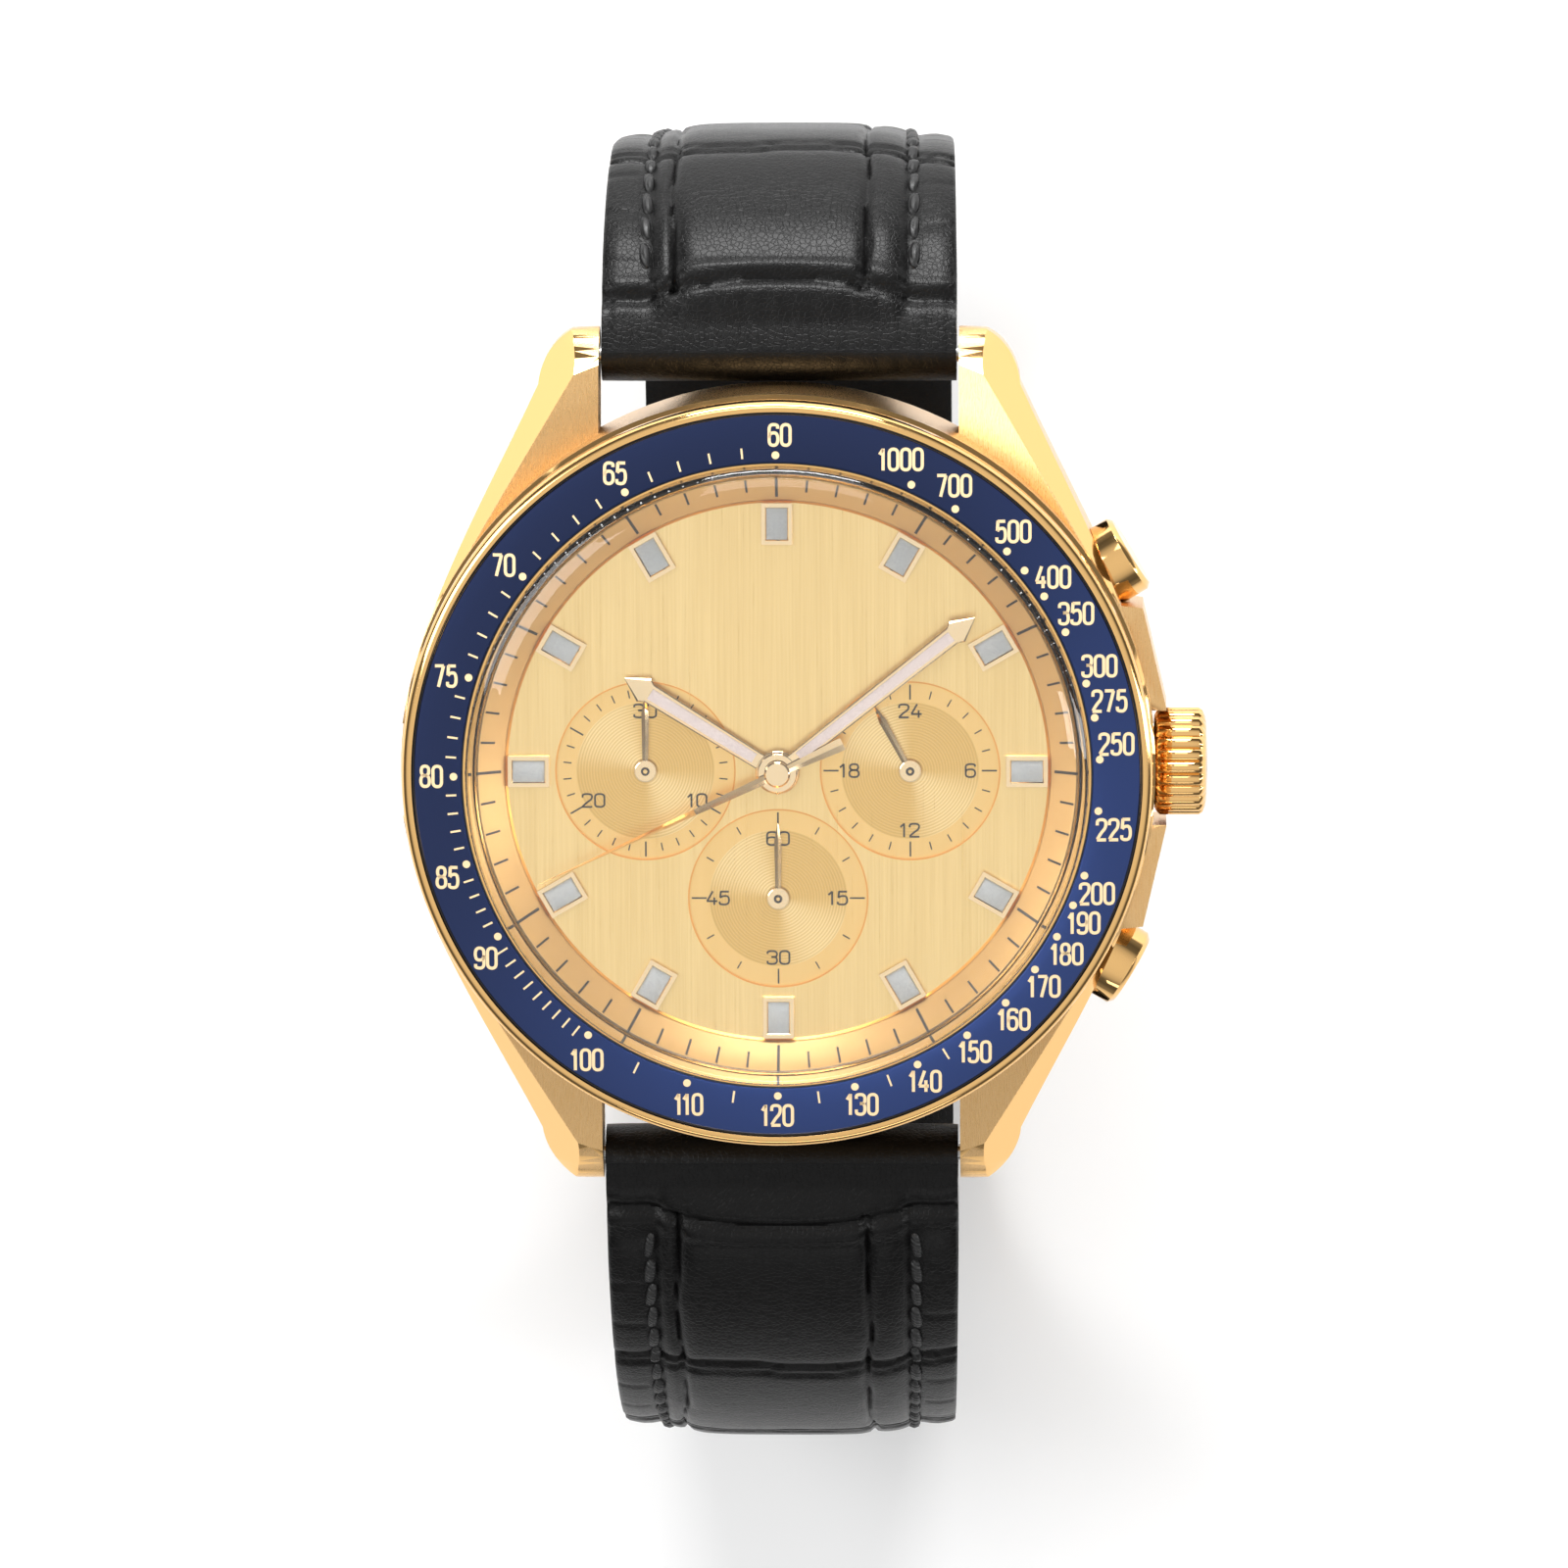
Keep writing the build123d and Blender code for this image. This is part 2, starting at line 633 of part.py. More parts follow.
lever_notches = (turned(14.9, pusher_angle), turned(14.9, -pusher_angle))
notch_radius = 2.0
jewelled = (third_place, seconds_place, escape_place, pallet_place, balance_place)
with BuildPart() as main_plate:
    bar(upright(), plate_low, plate_high, movement_radius)
    slab(
        upright(),
        plate_low - 1,
        crown_height + winding_radius + 0.15,
        (
            (stem_inner - 0.4, -1.7),
            (movement_radius + 1, -1.7),
            (movement_radius + 1, 1.7),
            (stem_inner - 0.4, 1.7),
        ),
        mode=Mode.SUBTRACT,
    )
    for place in jewelled:
        bar(upright(place), plate_low - 1, plate_high + 1, jewel_radius, mode=Mode.SUBTRACT)
    bar(upright(), plate_low - 1, plate_high + 1, 0.32 + running, mode=Mode.SUBTRACT)
    bar(upright(counter_place), plate_low - 1, plate_high + 1, arbor_radius + running, mode=Mode.SUBTRACT)
    bar(upright(barrel_place), plate_low - 1, plate_low + 0.8, 0.5 + running, mode=Mode.SUBTRACT)
    for place in (minute_wheel_place, day_middle_place, day_place):
        bar(upright(place), plate_high - 1, plate_high + 1, arbor_radius + running, mode=Mode.SUBTRACT)
    bar(upright(lever_pivot), plate_low - 1, plate_low + 0.8, 0.25 + running, mode=Mode.SUBTRACT)
    for place in screw_places:
        bar(upright(place), plate_low - 1, plate_low + 1, screw_shank, mode=Mode.SUBTRACT)
    for clamp_angle in clamp_angles:
        place = turned(movement_radius - 0.8, clamp_angle)
        bar(upright(place), plate_low - 1, plate_low + 1, screw_shank, mode=Mode.SUBTRACT)
main_plate.part.label = "main_plate"
export_step(main_plate.part, "parts/main_plate.step")

with BuildPart() as jewels:
    for place in jewelled:
        bar(upright(place), plate_low, plate_low + jewel_thick, jewel_radius, pivot_radius + running)
    for place in (third_place, seconds_place, escape_place):
        bar(upright(place), bridge_low, bridge_low + jewel_thick, jewel_radius, pivot_radius + running)
    bar(upright(balance_place), bridge_low, bridge_low + jewel_thick, jewel_radius, pivot_radius + running)
jewels.part.label = "jewels"
export_step(jewels.part, "parts/jewels.step")

with BuildPart() as barrel_bridge:
    with BuildSketch(upright().offset(bridge_low)) as barrel_bridge_plan:
        Circle(movement_edge)
        with Locations((-5, -10)):
            Rectangle(22, 23, mode=Mode.SUBTRACT)
        with Locations((10, -10)):
            Rectangle(20, 11, mode=Mode.SUBTRACT)
    extrude(barrel_bridge_plan.sketch, amount=bridge_thick)
    for place in barrel_pillars:
        bar(upright(place), bridge_high, plate_low, pillar_radius)
        bar(upright(place), bridge_low - 1, plate_low + 1, screw_shank, mode=Mode.SUBTRACT)
    bar(upright(barrel_place), bridge_low - 1, bridge_high + 1, 0.5 + running, mode=Mode.SUBTRACT)
    bar(upright(crown_wheel_place), bridge_low - 1, bridge_high + 1, 0.4, mode=Mode.SUBTRACT)
    bar(upright(click_place), bridge_low - 1, bridge_high + 1, 0.3, mode=Mode.SUBTRACT)
    bar(upright(column_place), bridge_low - 1, bridge_high + 1, 0.35, mode=Mode.SUBTRACT)
    for place in (operating_pivot, hammer_pivot):
        bar(upright(place), bridge_low - 1, bridge_high + 1, 0.35, mode=Mode.SUBTRACT)
    bar(upright(runner_feet[0]), bridge_low - 1, bridge_high + 1, 0.3, mode=Mode.SUBTRACT)
    bar(upright(lever_notches[0]), bridge_low - 1, bridge_high + 1, notch_radius, mode=Mode.SUBTRACT)
barrel_bridge.part.label = "barrel_bridge"
export_step(barrel_bridge.part, "parts/barrel_bridge.step")

with BuildPart() as train_bridge:
    with BuildSketch(upright().offset(bridge_low)) as train_bridge_plan:
        Circle(movement_edge)
        with Locations((-14.6, 0)):
            Rectangle(20, 40, mode=Mode.SUBTRACT)
        with Locations((0, 11.3)):
            Rectangle(60, 20, mode=Mode.SUBTRACT)
        with Locations((16, 4.7)):
            Rectangle(20, 19, mode=Mode.SUBTRACT)
    extrude(train_bridge_plan.sketch, amount=bridge_thick)
    for place in train_pillars:
        bar(upright(place), bridge_high, plate_low, pillar_radius)
        bar(upright(place), bridge_low - 1, plate_low + 1, screw_shank, mode=Mode.SUBTRACT)
    bar(upright(), bridge_low - 1, bridge_high + 1, 0.32 + running, mode=Mode.SUBTRACT)
    for place in (third_place, seconds_place, escape_place):
        bar(upright(place), bridge_low - 1, bridge_high + 1, jewel_radius, mode=Mode.SUBTRACT)
    bar(upright(runner_feet[1]), bridge_low - 1, bridge_high + 1, 0.3, mode=Mode.SUBTRACT)
    bar(upright(lever_notches[1]), bridge_low - 1, bridge_high + 1, notch_radius, mode=Mode.SUBTRACT)
train_bridge.part.label = "train_bridge"
export_step(train_bridge.part, "parts/train_bridge.step")

pallet_bridge_low = 4.05
pallet_bridge_high = 4.35
with BuildPart() as escapement_cocks:
    arm(upright(), bridge_low, bridge_high, (balance_place, cock_foot), 2.2)
    bar(upright(cock_foot), bridge_high, plate_low, 1.0)
    bar(upright(cock_foot), bridge_low - 1, plate_low + 1, screw_shank, mode=Mode.SUBTRACT)
    bar(upright(balance_place), bridge_low - 1, bridge_high + 1, jewel_radius, mode=Mode.SUBTRACT)
    arm(upright(), pallet_bridge_low, pallet_bridge_high, (pallet_place, pallet_foot), 1.1)
    bar(upright(pallet_foot), pallet_bridge_high, plate_low, 0.5)
    bar(
        upright(pallet_place),
        pallet_bridge_low - 1,
        pallet_bridge_high + 1,
        pivot_radius + running,
        mode=Mode.SUBTRACT,
    )
escapement_cocks.part.label = "escapement_cocks"
export_step(escapement_cocks.part, "parts/escapement_cocks.step")

runner_bridge_low = 1.15
runner_bridge_high = 1.45
with BuildPart() as chronograph_bridge:
    arm(
        upright(),
        runner_bridge_low,
        runner_bridge_high,
        (runner_feet[0], counter_place, counter_middle_place, centre, runner_feet[1]),
        1.5,
    )
    for place in runner_feet:
        bar(upright(place), runner_bridge_high, bridge_low, 0.75)
        bar(upright(place), bridge_low, bridge_high, 0.3)
    for place in (centre, counter_place, counter_middle_place):
        bar(
            upright(place),
            runner_bridge_low - 1,
            runner_bridge_high + 1,
            arbor_radius + running,
            mode=Mode.SUBTRACT,
        )
chronograph_bridge.part.label = "chronograph_bridge"
export_step(chronograph_bridge.part, "parts/chronograph_bridge.step")

with BuildPart() as movement_screws:
    for place in screw_places:
        bar(upright(place), bridge_low - 0.3, bridge_low, screw_head)
        bar(upright(place), bridge_low, plate_low + 0.9, screw_shank)
        with Locations(Plane((*place, case_back_z + bridge_low - 0.3))):
            Box(2 * screw_head, 0.2, 0.2, mode=Mode.SUBTRACT)
    for clamp_angle in clamp_angles:
        place = turned(movement_radius - 0.8, clamp_angle)
        bar(upright(place), plate_low - clamp_thick - 0.3, plate_low - clamp_thick, screw_head)
        bar(upright(place), plate_low - clamp_thick, plate_low + 0.9, screw_shank)
        with Locations(Plane((*place, case_back_z + plate_low - clamp_thick - 0.3))):
            Box(2 * screw_head, 0.2, 0.2, mode=Mode.SUBTRACT)
movement_screws.part.label = "movement_screws"
export_step(movement_screws.part, "parts/movement_screws.step")

# ---- barrel and winding work ----
barrel_wall = 0.3
barrel_inner = 5.6 - barrel_wall
barrel_low = 3.45
barrel_teeth_high = barrel_low + 0.3
barrel_cover_low = 4.45
barrel_high = 4.65
arbor_core = 0.9
barrel_toward_centre = barrel_angle + 180
centre_pinion_first = meshed(
    barrel_toward_centre, barrel_teeth, centre_pinion_teeth, barrel_toward_centre
)
with BuildPart() as barrel_drum:
    toothed(
        upright(barrel_place),
        barrel_low,
        barrel_teeth_high,
        barrel_teeth,
        barrel_module,
        barrel_toward_centre,
    )
    bar(upright(barrel_place), barrel_teeth_high, barrel_cover_low, barrel_inner + barrel_wall)
    bar(upright(barrel_place), barrel_low + 0.15, barrel_cover_low, barrel_inner, mode=Mode.SUBTRACT)
    bar(upright(barrel_place), barrel_low, barrel_high, arbor_core + running, mode=Mode.SUBTRACT)
    bar(
        upright(barrel_place),
        barrel_cover_low + 0.005,
        barrel_high,
        barrel_inner + barrel_wall,
        arbor_core + running,
    )
barrel_drum.part.label = "barrel_drum"
export_step(barrel_drum.part, "parts/barrel_drum.step")

ratchet_low = bridge_high + working
ratchet_high = ratchet_low + 0.3
ratchet_first = meshed(0.0, crown_wheel_teeth, ratchet_teeth, winding_angle)
with BuildPart() as barrel_arbor:
    bar(upright(barrel_place), ratchet_high, barrel_high + working, arbor_core)
    bar(upright(barrel_place), barrel_high, plate_low + 0.7, 0.5)
    bar(upright(barrel_place), bridge_low + 0.05, ratchet_high, 0.5)
    toothed(
        upright(barrel_place), ratchet_low, ratchet_high, ratchet_teeth, winding_module, ratchet_first
    )
barrel_arbor.part.label = "barrel_arbor"
export_step(barrel_arbor.part, "parts/barrel_arbor.step")

with BuildPart() as crown_wheel:
    toothed(
        upright(crown_wheel_place), ratchet_low, ratchet_high, crown_wheel_teeth, winding_module
    )
    bar(upright(crown_wheel_place), bridge_low, ratchet_low, 0.4 - running)
crown_wheel.part.label = "crown_wheel"
export_step(crown_wheel.part, "parts/crown_wheel.step")

spring_turns = 7
spring_thick = 0.12
spring_inner = arbor_core
spring_pitch = (barrel_inner - 0.15 - spring_inner - spring_thick) / spring_turns


def spiral(place, inner, pitch, turns, thick):
    """Closed outline of a flat spiral ribbon, wound outwards from an inner radius."""
    outside = []
    inside = []
    count = int(turns * 18)
    for step in range(count + 1):
        angle = 360 * turns * step / count
        radius = inner + pitch * turns * step / count
        outside.append(turned(radius + thick, angle))
        inside.append(turned(radius, angle))
    with BuildSketch(upright(place)) as ribbon:
        with BuildLine():
            outer_line = Spline(*outside)
            inner_line = Spline(*inside)
            Line(outer_line @ 0, inner_line @ 0)
            Line(outer_line @ 1, inner_line @ 1)
        make_face()
    return ribbon.sketch


with BuildPart() as mainspring:
    ribbon_low = barrel_low + 0.15 + working
    extrude(
        spiral(barrel_place, spring_inner, spring_pitch, spring_turns, spring_thick).moved(
            Location((0, 0, ribbon_low))
        ),
        amount=barrel_cover_low - working - ribbon_low,
    )
mainspring.part.label = "mainspring"
export_step(mainspring.part, "parts/mainspring.step")

ratchet_tip = ratchet_teeth * winding_module / 2 + 0.75 * winding_module
click_away = between(barrel_place, click_place)[1]
with BuildPart() as click:
    click_tip = beyond(barrel_place, ratchet_tip + 0.4, click_away - 18)
    arm(upright(), ratchet_low, ratchet_high, (click_place, click_tip), 0.7)
    bar(upright(click_place), ratchet_low, ratchet_high, 0.8)
    bar(upright(click_place), bridge_low, ratchet_low, 0.3 - running)
click.part.label = "click"
export_step(click.part, "parts/click.step")

with BuildPart() as setting_lever:
    lever_low = crown_height + stem_radius + running
    arm(upright(), lever_low, plate_low - working, (lever_pivot, (groove_x, -0.7)), 0.7)
    bar(upright((groove_x, -0.6)), crown_height - 0.2, plate_low - working, 0.2)
    bar(upright(lever_pivot), plate_low - working, plate_low + 0.6, 0.25)
setting_lever.part.label = "setting_lever"
export_step(setting_lever.part, "parts/setting_lever.step")

# ---- going train ----
centre_wheel_low = 4.85
third_wheel_low = 4.2
fourth_wheel_low = 3.6
wheel_thick = 0.2


def going_wheel(axis, low, teeth, module, first, rim=0.35):
    """Train wheel with a rim, four arms and a hub."""
    toothed(axis, low, low + wheel_thick, teeth, module, first)
    inside = teeth * module / 2 - 1.15 * module - rim
    with BuildSketch(axis.offset(low)) as windows:
        Circle(inside)
        Circle(0.62, mode=Mode.SUBTRACT)
        Rectangle(2 * inside + 1, 0.4, mode=Mode.SUBTRACT)
        Rectangle(0.4, 2 * inside + 1, mode=Mode.SUBTRACT)
    extrude(windows.sketch, amount=wheel_thick, mode=Mode.SUBTRACT)


to_third = between(centre, third_place)[1]
third_pinion_first = meshed(to_third, centre_teeth, third_pinion_teeth, to_third)
to_fourth = between(third_place, seconds_place)[1]
fourth_pinion_first = meshed(to_fourth, third_teeth, fourth_pinion_teeth, to_fourth)
escape_pinion_first = meshed(escape_angle, fourth_teeth, escape_pinion_teeth, escape_angle)
arbor_tube = 0.32
arbor_bore = 0.16

with BuildPart() as centre_wheel:
    going_wheel(upright(), centre_wheel_low, centre_teeth, centre_module, to_third)
    toothed(
        upright(), barrel_low, barrel_low + 0.4, centre_pinion_teeth, barrel_module, centre_pinion_first
    )
    bar(upright(), bridge_low, plate_high + 0.9, arbor_tube)
    bar(upright(), barrel_low, centre_wheel_low, 0.5)
    bar(upright(), bridge_low - 1, plate_high + 2, arbor_bore, mode=Mode.SUBTRACT)
centre_wheel.part.label = "centre_wheel"
export_step(centre_wheel.part, "parts/centre_wheel.step")

with BuildPart() as third_wheel:
    going_wheel(upright(third_place), third_wheel_low, third_teeth, third_module, to_fourth)
    toothed(
        upright(third_place),
        centre_wheel_low - 0.3,
        centre_wheel_low + 0.3,
        third_pinion_teeth,
        centre_module,
        third_pinion_first,
    )
    bar(upright(third_place), bridge_low + jewel_thick, plate_low, 0.2)
    bar(upright(third_place), bridge_low + 0.05, plate_low + 0.25, pivot_radius)
third_wheel.part.label = "third_wheel"
export_step(third_wheel.part, "parts/third_wheel.step")

with BuildPart() as fourth_wheel:
    going_wheel(upright(seconds_place), fourth_wheel_low, fourth_teeth, fourth_module, escape_angle)
    toothed(
        upright(seconds_place),
        third_wheel_low - 0.2,
        third_wheel_low + 0.4,
        fourth_pinion_teeth,
        third_module,
        fourth_pinion_first,
    )
    bar(upright(seconds_place), bridge_low + jewel_thick, plate_low, 0.2)
    bar(upright(seconds_place), bridge_low + 0.05, dial_high + 0.3, pivot_radius)
fourth_wheel.part.label = "fourth_wheel"
export_step(fourth_wheel.part, "parts/fourth_wheel.step")

escape_teeth = 15
escape_low = 4.6
escape_thick = 0.15
with BuildPart() as escape_wheel:
    escape_outline = []
    for tooth in range(escape_teeth):
        lead = lever_angle + 12 + tooth * 360 / escape_teeth
        escape_outline.append(turned(escape_radius - 0.6, lead - 9))
        escape_outline.append(turned(escape_radius - 0.05, lead - 3))
        escape_outline.append(turned(escape_radius, lead))
        escape_outline.append(turned(escape_radius - 0.6, lead + 2))
    slab(upright(escape_place), escape_low, escape_low + escape_thick, escape_outline)
    with BuildSketch(upright(escape_place).offset(escape_low)) as escape_windows:
        Circle(escape_radius - 0.85)
        Circle(0.45, mode=Mode.SUBTRACT)
        Rectangle(2 * escape_radius, 0.25, mode=Mode.SUBTRACT)
        Rectangle(0.25, 2 * escape_radius, mode=Mode.SUBTRACT)
    extrude(escape_windows.sketch, amount=escape_thick, mode=Mode.SUBTRACT)
    toothed(
        upright(escape_place),
        fourth_wheel_low - 0.1,
        fourth_wheel_low + 0.3,
        escape_pinion_teeth,
        fourth_module,
        escape_pinion_first,
    )
    bar(upright(escape_place), bridge_low + jewel_thick, plate_low, 0.16)
    bar(upright(escape_place), bridge_low + 0.05, plate_low + 0.25, pivot_radius)
escape_wheel.part.label = "escape_wheel"
export_step(escape_wheel.part, "parts/escape_wheel.step")

# ---- pallet fork, balance and hairspring ----
impulse_reach = 0.62
fork_reach = lever_length - impulse_reach - 0.1 - working
stone_clear = escape_radius + 0.17
with BuildPart() as pallet_fork:
    for side in (-1, 1):
        stone_middle = beyond(escape_place, stone_clear + 0.3, lever_angle + 30 * side)
        stone_tip = beyond(escape_place, stone_clear + 0.2, lever_angle + 30 * side)
        arm(upright(), escape_low, escape_low + escape_thick, (pallet_place, stone_middle), 0.4)
        bar(upright(stone_tip), escape_low, escape_low + escape_thick, 0.2)
    fork_end = beyond(pallet_place, fork_reach - 0.2, lever_angle)
    arm(upright(), escape_low, escape_low + escape_thick, (pallet_place, fork_end), 0.35)
    for side in (-1, 1):
        horn = beyond(fork_end, 0.22, lever_angle + 90 * side)
        arm(upright(), escape_low, escape_low + escape_thick, (fork_end, horn), 0.24)
    bar(upright(pallet_place), pallet_bridge_high + working, plate_low, 0.16)
    bar(upright(pallet_place), pallet_bridge_low + 0.02, plate_low + 0.25, pivot_radius)
pallet_fork.part.label = "pallet_fork"
export_step(pallet_fork.part, "parts/pallet_fork.step")

rim_low = 3.45
rim_high = 3.9
with BuildPart() as balance_wheel:
    bar(upright(balance_place), rim_low, rim_high, balance_radius, balance_radius - 0.4)
    arm(
        upright(),
        rim_low,
        rim_low + 0.2,
        (
            beyond(balance_place, balance_radius - 0.2, 60),
            beyond(balance_place, balance_radius - 0.2, 240),
        ),
        0.4,
    )
    arm(
        upright(),
        rim_low,
        rim_low + 0.2,
        (
            beyond(balance_place, balance_radius - 0.2, -30),
            beyond(balance_place, balance_radius - 0.2, 150),
        ),
        0.4,
    )
    bar(upright(balance_place), bridge_low + jewel_thick, plate_low, 0.18)
    bar(upright(balance_place), bridge_low + 0.05, plate_low + 0.25, pivot_radius)
    bar(upright(balance_place), 4.42, 4.55, 0.85)
    impulse_pin = beyond(balance_place, impulse_reach, lever_angle + 180)
    bar(upright(impulse_pin), 4.5, escape_low + escape_thick, 0.1)
    bar(upright(balance_place), 3.05, 3.35, 0.43)
    extrude(
        spiral(balance_place, 0.45, 0.22, 6, 0.05).moved(Location((0, 0, bridge_high + 0.15))),
        amount=0.2,
    )
balance_wheel.part.label = "balance_wheel"
export_step(balance_wheel.part, "parts/balance_wheel.step")

# ---- motion work under the dial ----
cannon_low = plate_high + working
cannon_outer = 0.5
hour_pipe = 0.75
hour_wheel_low = cannon_low + 0.4
to_minute_wheel = -90.0
cannon_first = 90.0
minute_wheel_first = meshed(cannon_first, cannon_teeth, minute_teeth, to_minute_wheel)
hour_first = meshed(90.0, minute_pinion_teeth, hour_teeth, 90.0)
to_day_middle = between(centre, day_middle_place)[1]
day_middle_first = meshed(hour_first, hour_teeth, hour_teeth, to_day_middle)
to_day = between(day_middle_place, day_place)[1]
day_first = meshed(to_day, day_pinion_teeth, hour_teeth, to_day)
hour_hand_low = 8.85
minute_hand_low = 9.2
seconds_hand_low = 9.6
hand_thick = 0.15

with BuildPart() as cannon_pinion:
    toothed(upright(), cannon_low, cannon_low + 0.3, cannon_teeth, cannon_module, cannon_first)
    bar(upright(), cannon_low, minute_hand_low + hand_thick, cannon_outer)
    bar(upright(), cannon_low - 1, minute_hand_low + 1, arbor_tube, mode=Mode.SUBTRACT)
cannon_pinion.part.label = "cannon_pinion"
export_step(cannon_pinion.part, "parts/cannon_pinion.step")

with BuildPart() as minute_wheel:
    toothed(
        upright(minute_wheel_place),
        cannon_low + 0.05,
        cannon_low + 0.25,
        minute_teeth,
        cannon_module,
        minute_wheel_first,
    )
    toothed(
        upright(minute_wheel_place),
        cannon_low + 0.25,
        hour_wheel_low + 0.25,
        minute_pinion_teeth,
        motion_module,
        90.0,
    )
    bar(upright(minute_wheel_place), plate_high - 0.7, cannon_low + 0.1, arbor_radius)
minute_wheel.part.label = "minute_wheel"
export_step(minute_wheel.part, "parts/minute_wheel.step")

with BuildPart() as hour_wheel:
    toothed(
        upright(), hour_wheel_low, hour_wheel_low + wheel_thick, hour_teeth, motion_module, hour_first
    )
    bar(upright(), hour_wheel_low, hour_hand_low + hand_thick, hour_pipe)
    bar(upright(), hour_wheel_low - 1, hour_hand_low + 1, cannon_outer + running, mode=Mode.SUBTRACT)
hour_wheel.part.label = "hour_wheel"
export_step(hour_wheel.part, "parts/hour_wheel.step")

with BuildPart() as day_middle_wheel:
    toothed(
        upright(day_middle_place),
        hour_wheel_low,
        hour_wheel_low + wheel_thick,
        hour_teeth,
        motion_module,
        day_middle_first,
    )
    toothed(
        upright(day_middle_place),
        cannon_low + 0.05,
        hour_wheel_low,
        day_pinion_teeth,
        motion_module,
        to_day,
    )
    bar(upright(day_middle_place), plate_high - 0.7, cannon_low + 0.1, arbor_radius)
day_middle_wheel.part.label = "day_middle_wheel"
export_step(day_middle_wheel.part, "parts/day_middle_wheel.step")

sub_hand_low = 8.45
sub_hand_thick = 0.1
with BuildPart() as day_wheel:
    toothed(
        upright(day_place),
        cannon_low + 0.08,
        cannon_low + 0.28,
        hour_teeth,
        motion_module,
        day_first,
    )
    bar(upright(day_place), plate_high - 0.7, sub_hand_low + sub_hand_thick + 0.05, pivot_radius)
day_wheel.part.label = "day_wheel"
export_step(day_wheel.part, "parts/day_wheel.step")

# ---- chronograph work on the bridges ----
runner_low = 2.15
runner_pinion_low = 1.85
counter_wheel_low = 1.53
heart_low = 1.53
to_counter_middle = between(centre, counter_middle_place)[1]
counter_middle_first = meshed(
    to_counter_middle, runner_pinion_teeth, counter_teeth, to_counter_middle
)
to_counter = between(counter_middle_place, counter_place)[1]
counter_first = meshed(to_counter, counter_pinion_teeth, counter_teeth, to_counter)


def heart(axis, low, high, angle):
    """Heart cam that the reset hammer brings back to zero."""
    points = []
    for step in range(-9, 10):
        points.append(turned(0.35 + 0.55 * abs(step) / 9, angle + 20 * step))
    slab(axis, low, high, points[:-1])


with BuildPart() as chronograph_wheel:
    toothed(upright(), runner_low, runner_low + 0.15, 80, 0.07)
    toothed(
        upright(),
        runner_pinion_low,
        runner_pinion_low + 0.2,
        runner_pinion_teeth,
        motion_module,
        to_counter_middle,
    )
    heart(upright(), heart_low, heart_low + 0.2, 120.0)
    bar(upright(), runner_bridge_low + 0.02, seconds_hand_low + hand_thick + 0.1, arbor_radius)
chronograph_wheel.part.label = "chronograph_wheel"
export_step(chronograph_wheel.part, "parts/chronograph_wheel.step")

with BuildPart() as counter_middle_wheel:
    toothed(
        upright(counter_middle_place),
        runner_pinion_low,
        runner_pinion_low + 0.15,
        counter_teeth,
        motion_module,
        counter_middle_first,
    )
    toothed(
        upright(counter_middle_place),
        counter_wheel_low,
        runner_pinion_low,
        counter_pinion_teeth,
        motion_module,
        to_counter,
    )
    bar(upright(counter_middle_place), runner_bridge_low + 0.02, bridge_low - working, arbor_radius)
counter_middle_wheel.part.label = "counter_middle_wheel"
export_step(counter_middle_wheel.part, "parts/counter_middle_wheel.step")

with BuildPart() as minute_counter_wheel:
    toothed(
        upright(counter_place),
        counter_wheel_low,
        counter_wheel_low + 0.15,
        counter_teeth,
        motion_module,
        counter_first,
    )
    heart(upright(counter_place), counter_wheel_low + 0.15, counter_wheel_low + 0.35, 60.0)
    bar(
        upright(counter_place),
        runner_bridge_low + 0.02,
        sub_hand_low + sub_hand_thick + 0.05,
        arbor_radius,
    )
minute_counter_wheel.part.label = "minute_counter_wheel"
export_step(minute_counter_wheel.part, "parts/minute_counter_wheel.step")

column_low = 1.3
columns = 6
with BuildPart() as column_wheel:
    toothed(upright(column_place), 2.15, 2.4, 2 * columns, 0.25)
    bar(upright(column_place), column_low, 2.15, 1.25)
    with BuildSketch(upright(column_place).offset(column_low)) as column_gaps:
        with PolarLocations(1.35, columns):
            Circle(0.42)
    extrude(column_gaps.sketch, amount=0.7, mode=Mode.SUBTRACT)
    bar(upright(column_place), 2.15, bridge_high, 0.35 - running)
column_wheel.part.label = "column_wheel"
export_step(column_wheel.part, "parts/column_wheel.step")

foot_radius = 0.35
foot_high = crown_height + 0.4
lever_foot = turned(rod_inner - foot_radius - sliding, pusher_angle)
hammer_foot = turned(rod_inner - foot_radius - sliding, -pusher_angle)
with BuildPart() as operating_lever:
    arm(upright(), 1.6, 2.0, (operating_pivot, lever_foot), 0.9)
    hook_end = beyond(column_place, 1.25 + 0.95, between(column_place, operating_pivot)[1] + 25)
    arm(upright(), 1.6, 2.0, (operating_pivot, hook_end), 0.7)
    bar(upright(lever_foot), 1.6, foot_high, foot_radius)
    bar(upright(operating_pivot), 1.5, bridge_low, 0.6)
    bar(upright(operating_pivot), bridge_low, bridge_high, 0.35 - running)
operating_lever.part.label = "operating_lever"
export_step(operating_lever.part, "parts/operating_lever.step")

with BuildPart() as reset_hammer:
    arm(upright(), 1.5, 1.8, (hammer_foot, hammer_pivot, (2.6, -3.9)), 0.8)
    bar(upright(hammer_foot), 1.5, foot_high, foot_radius)
    bar(upright(hammer_pivot), 1.4, bridge_low, 0.6)
    bar(upright(hammer_pivot), bridge_low, bridge_high, 0.35 - running)
reset_hammer.part.label = "reset_hammer"
export_step(reset_hammer.part, "parts/reset_hammer.step")

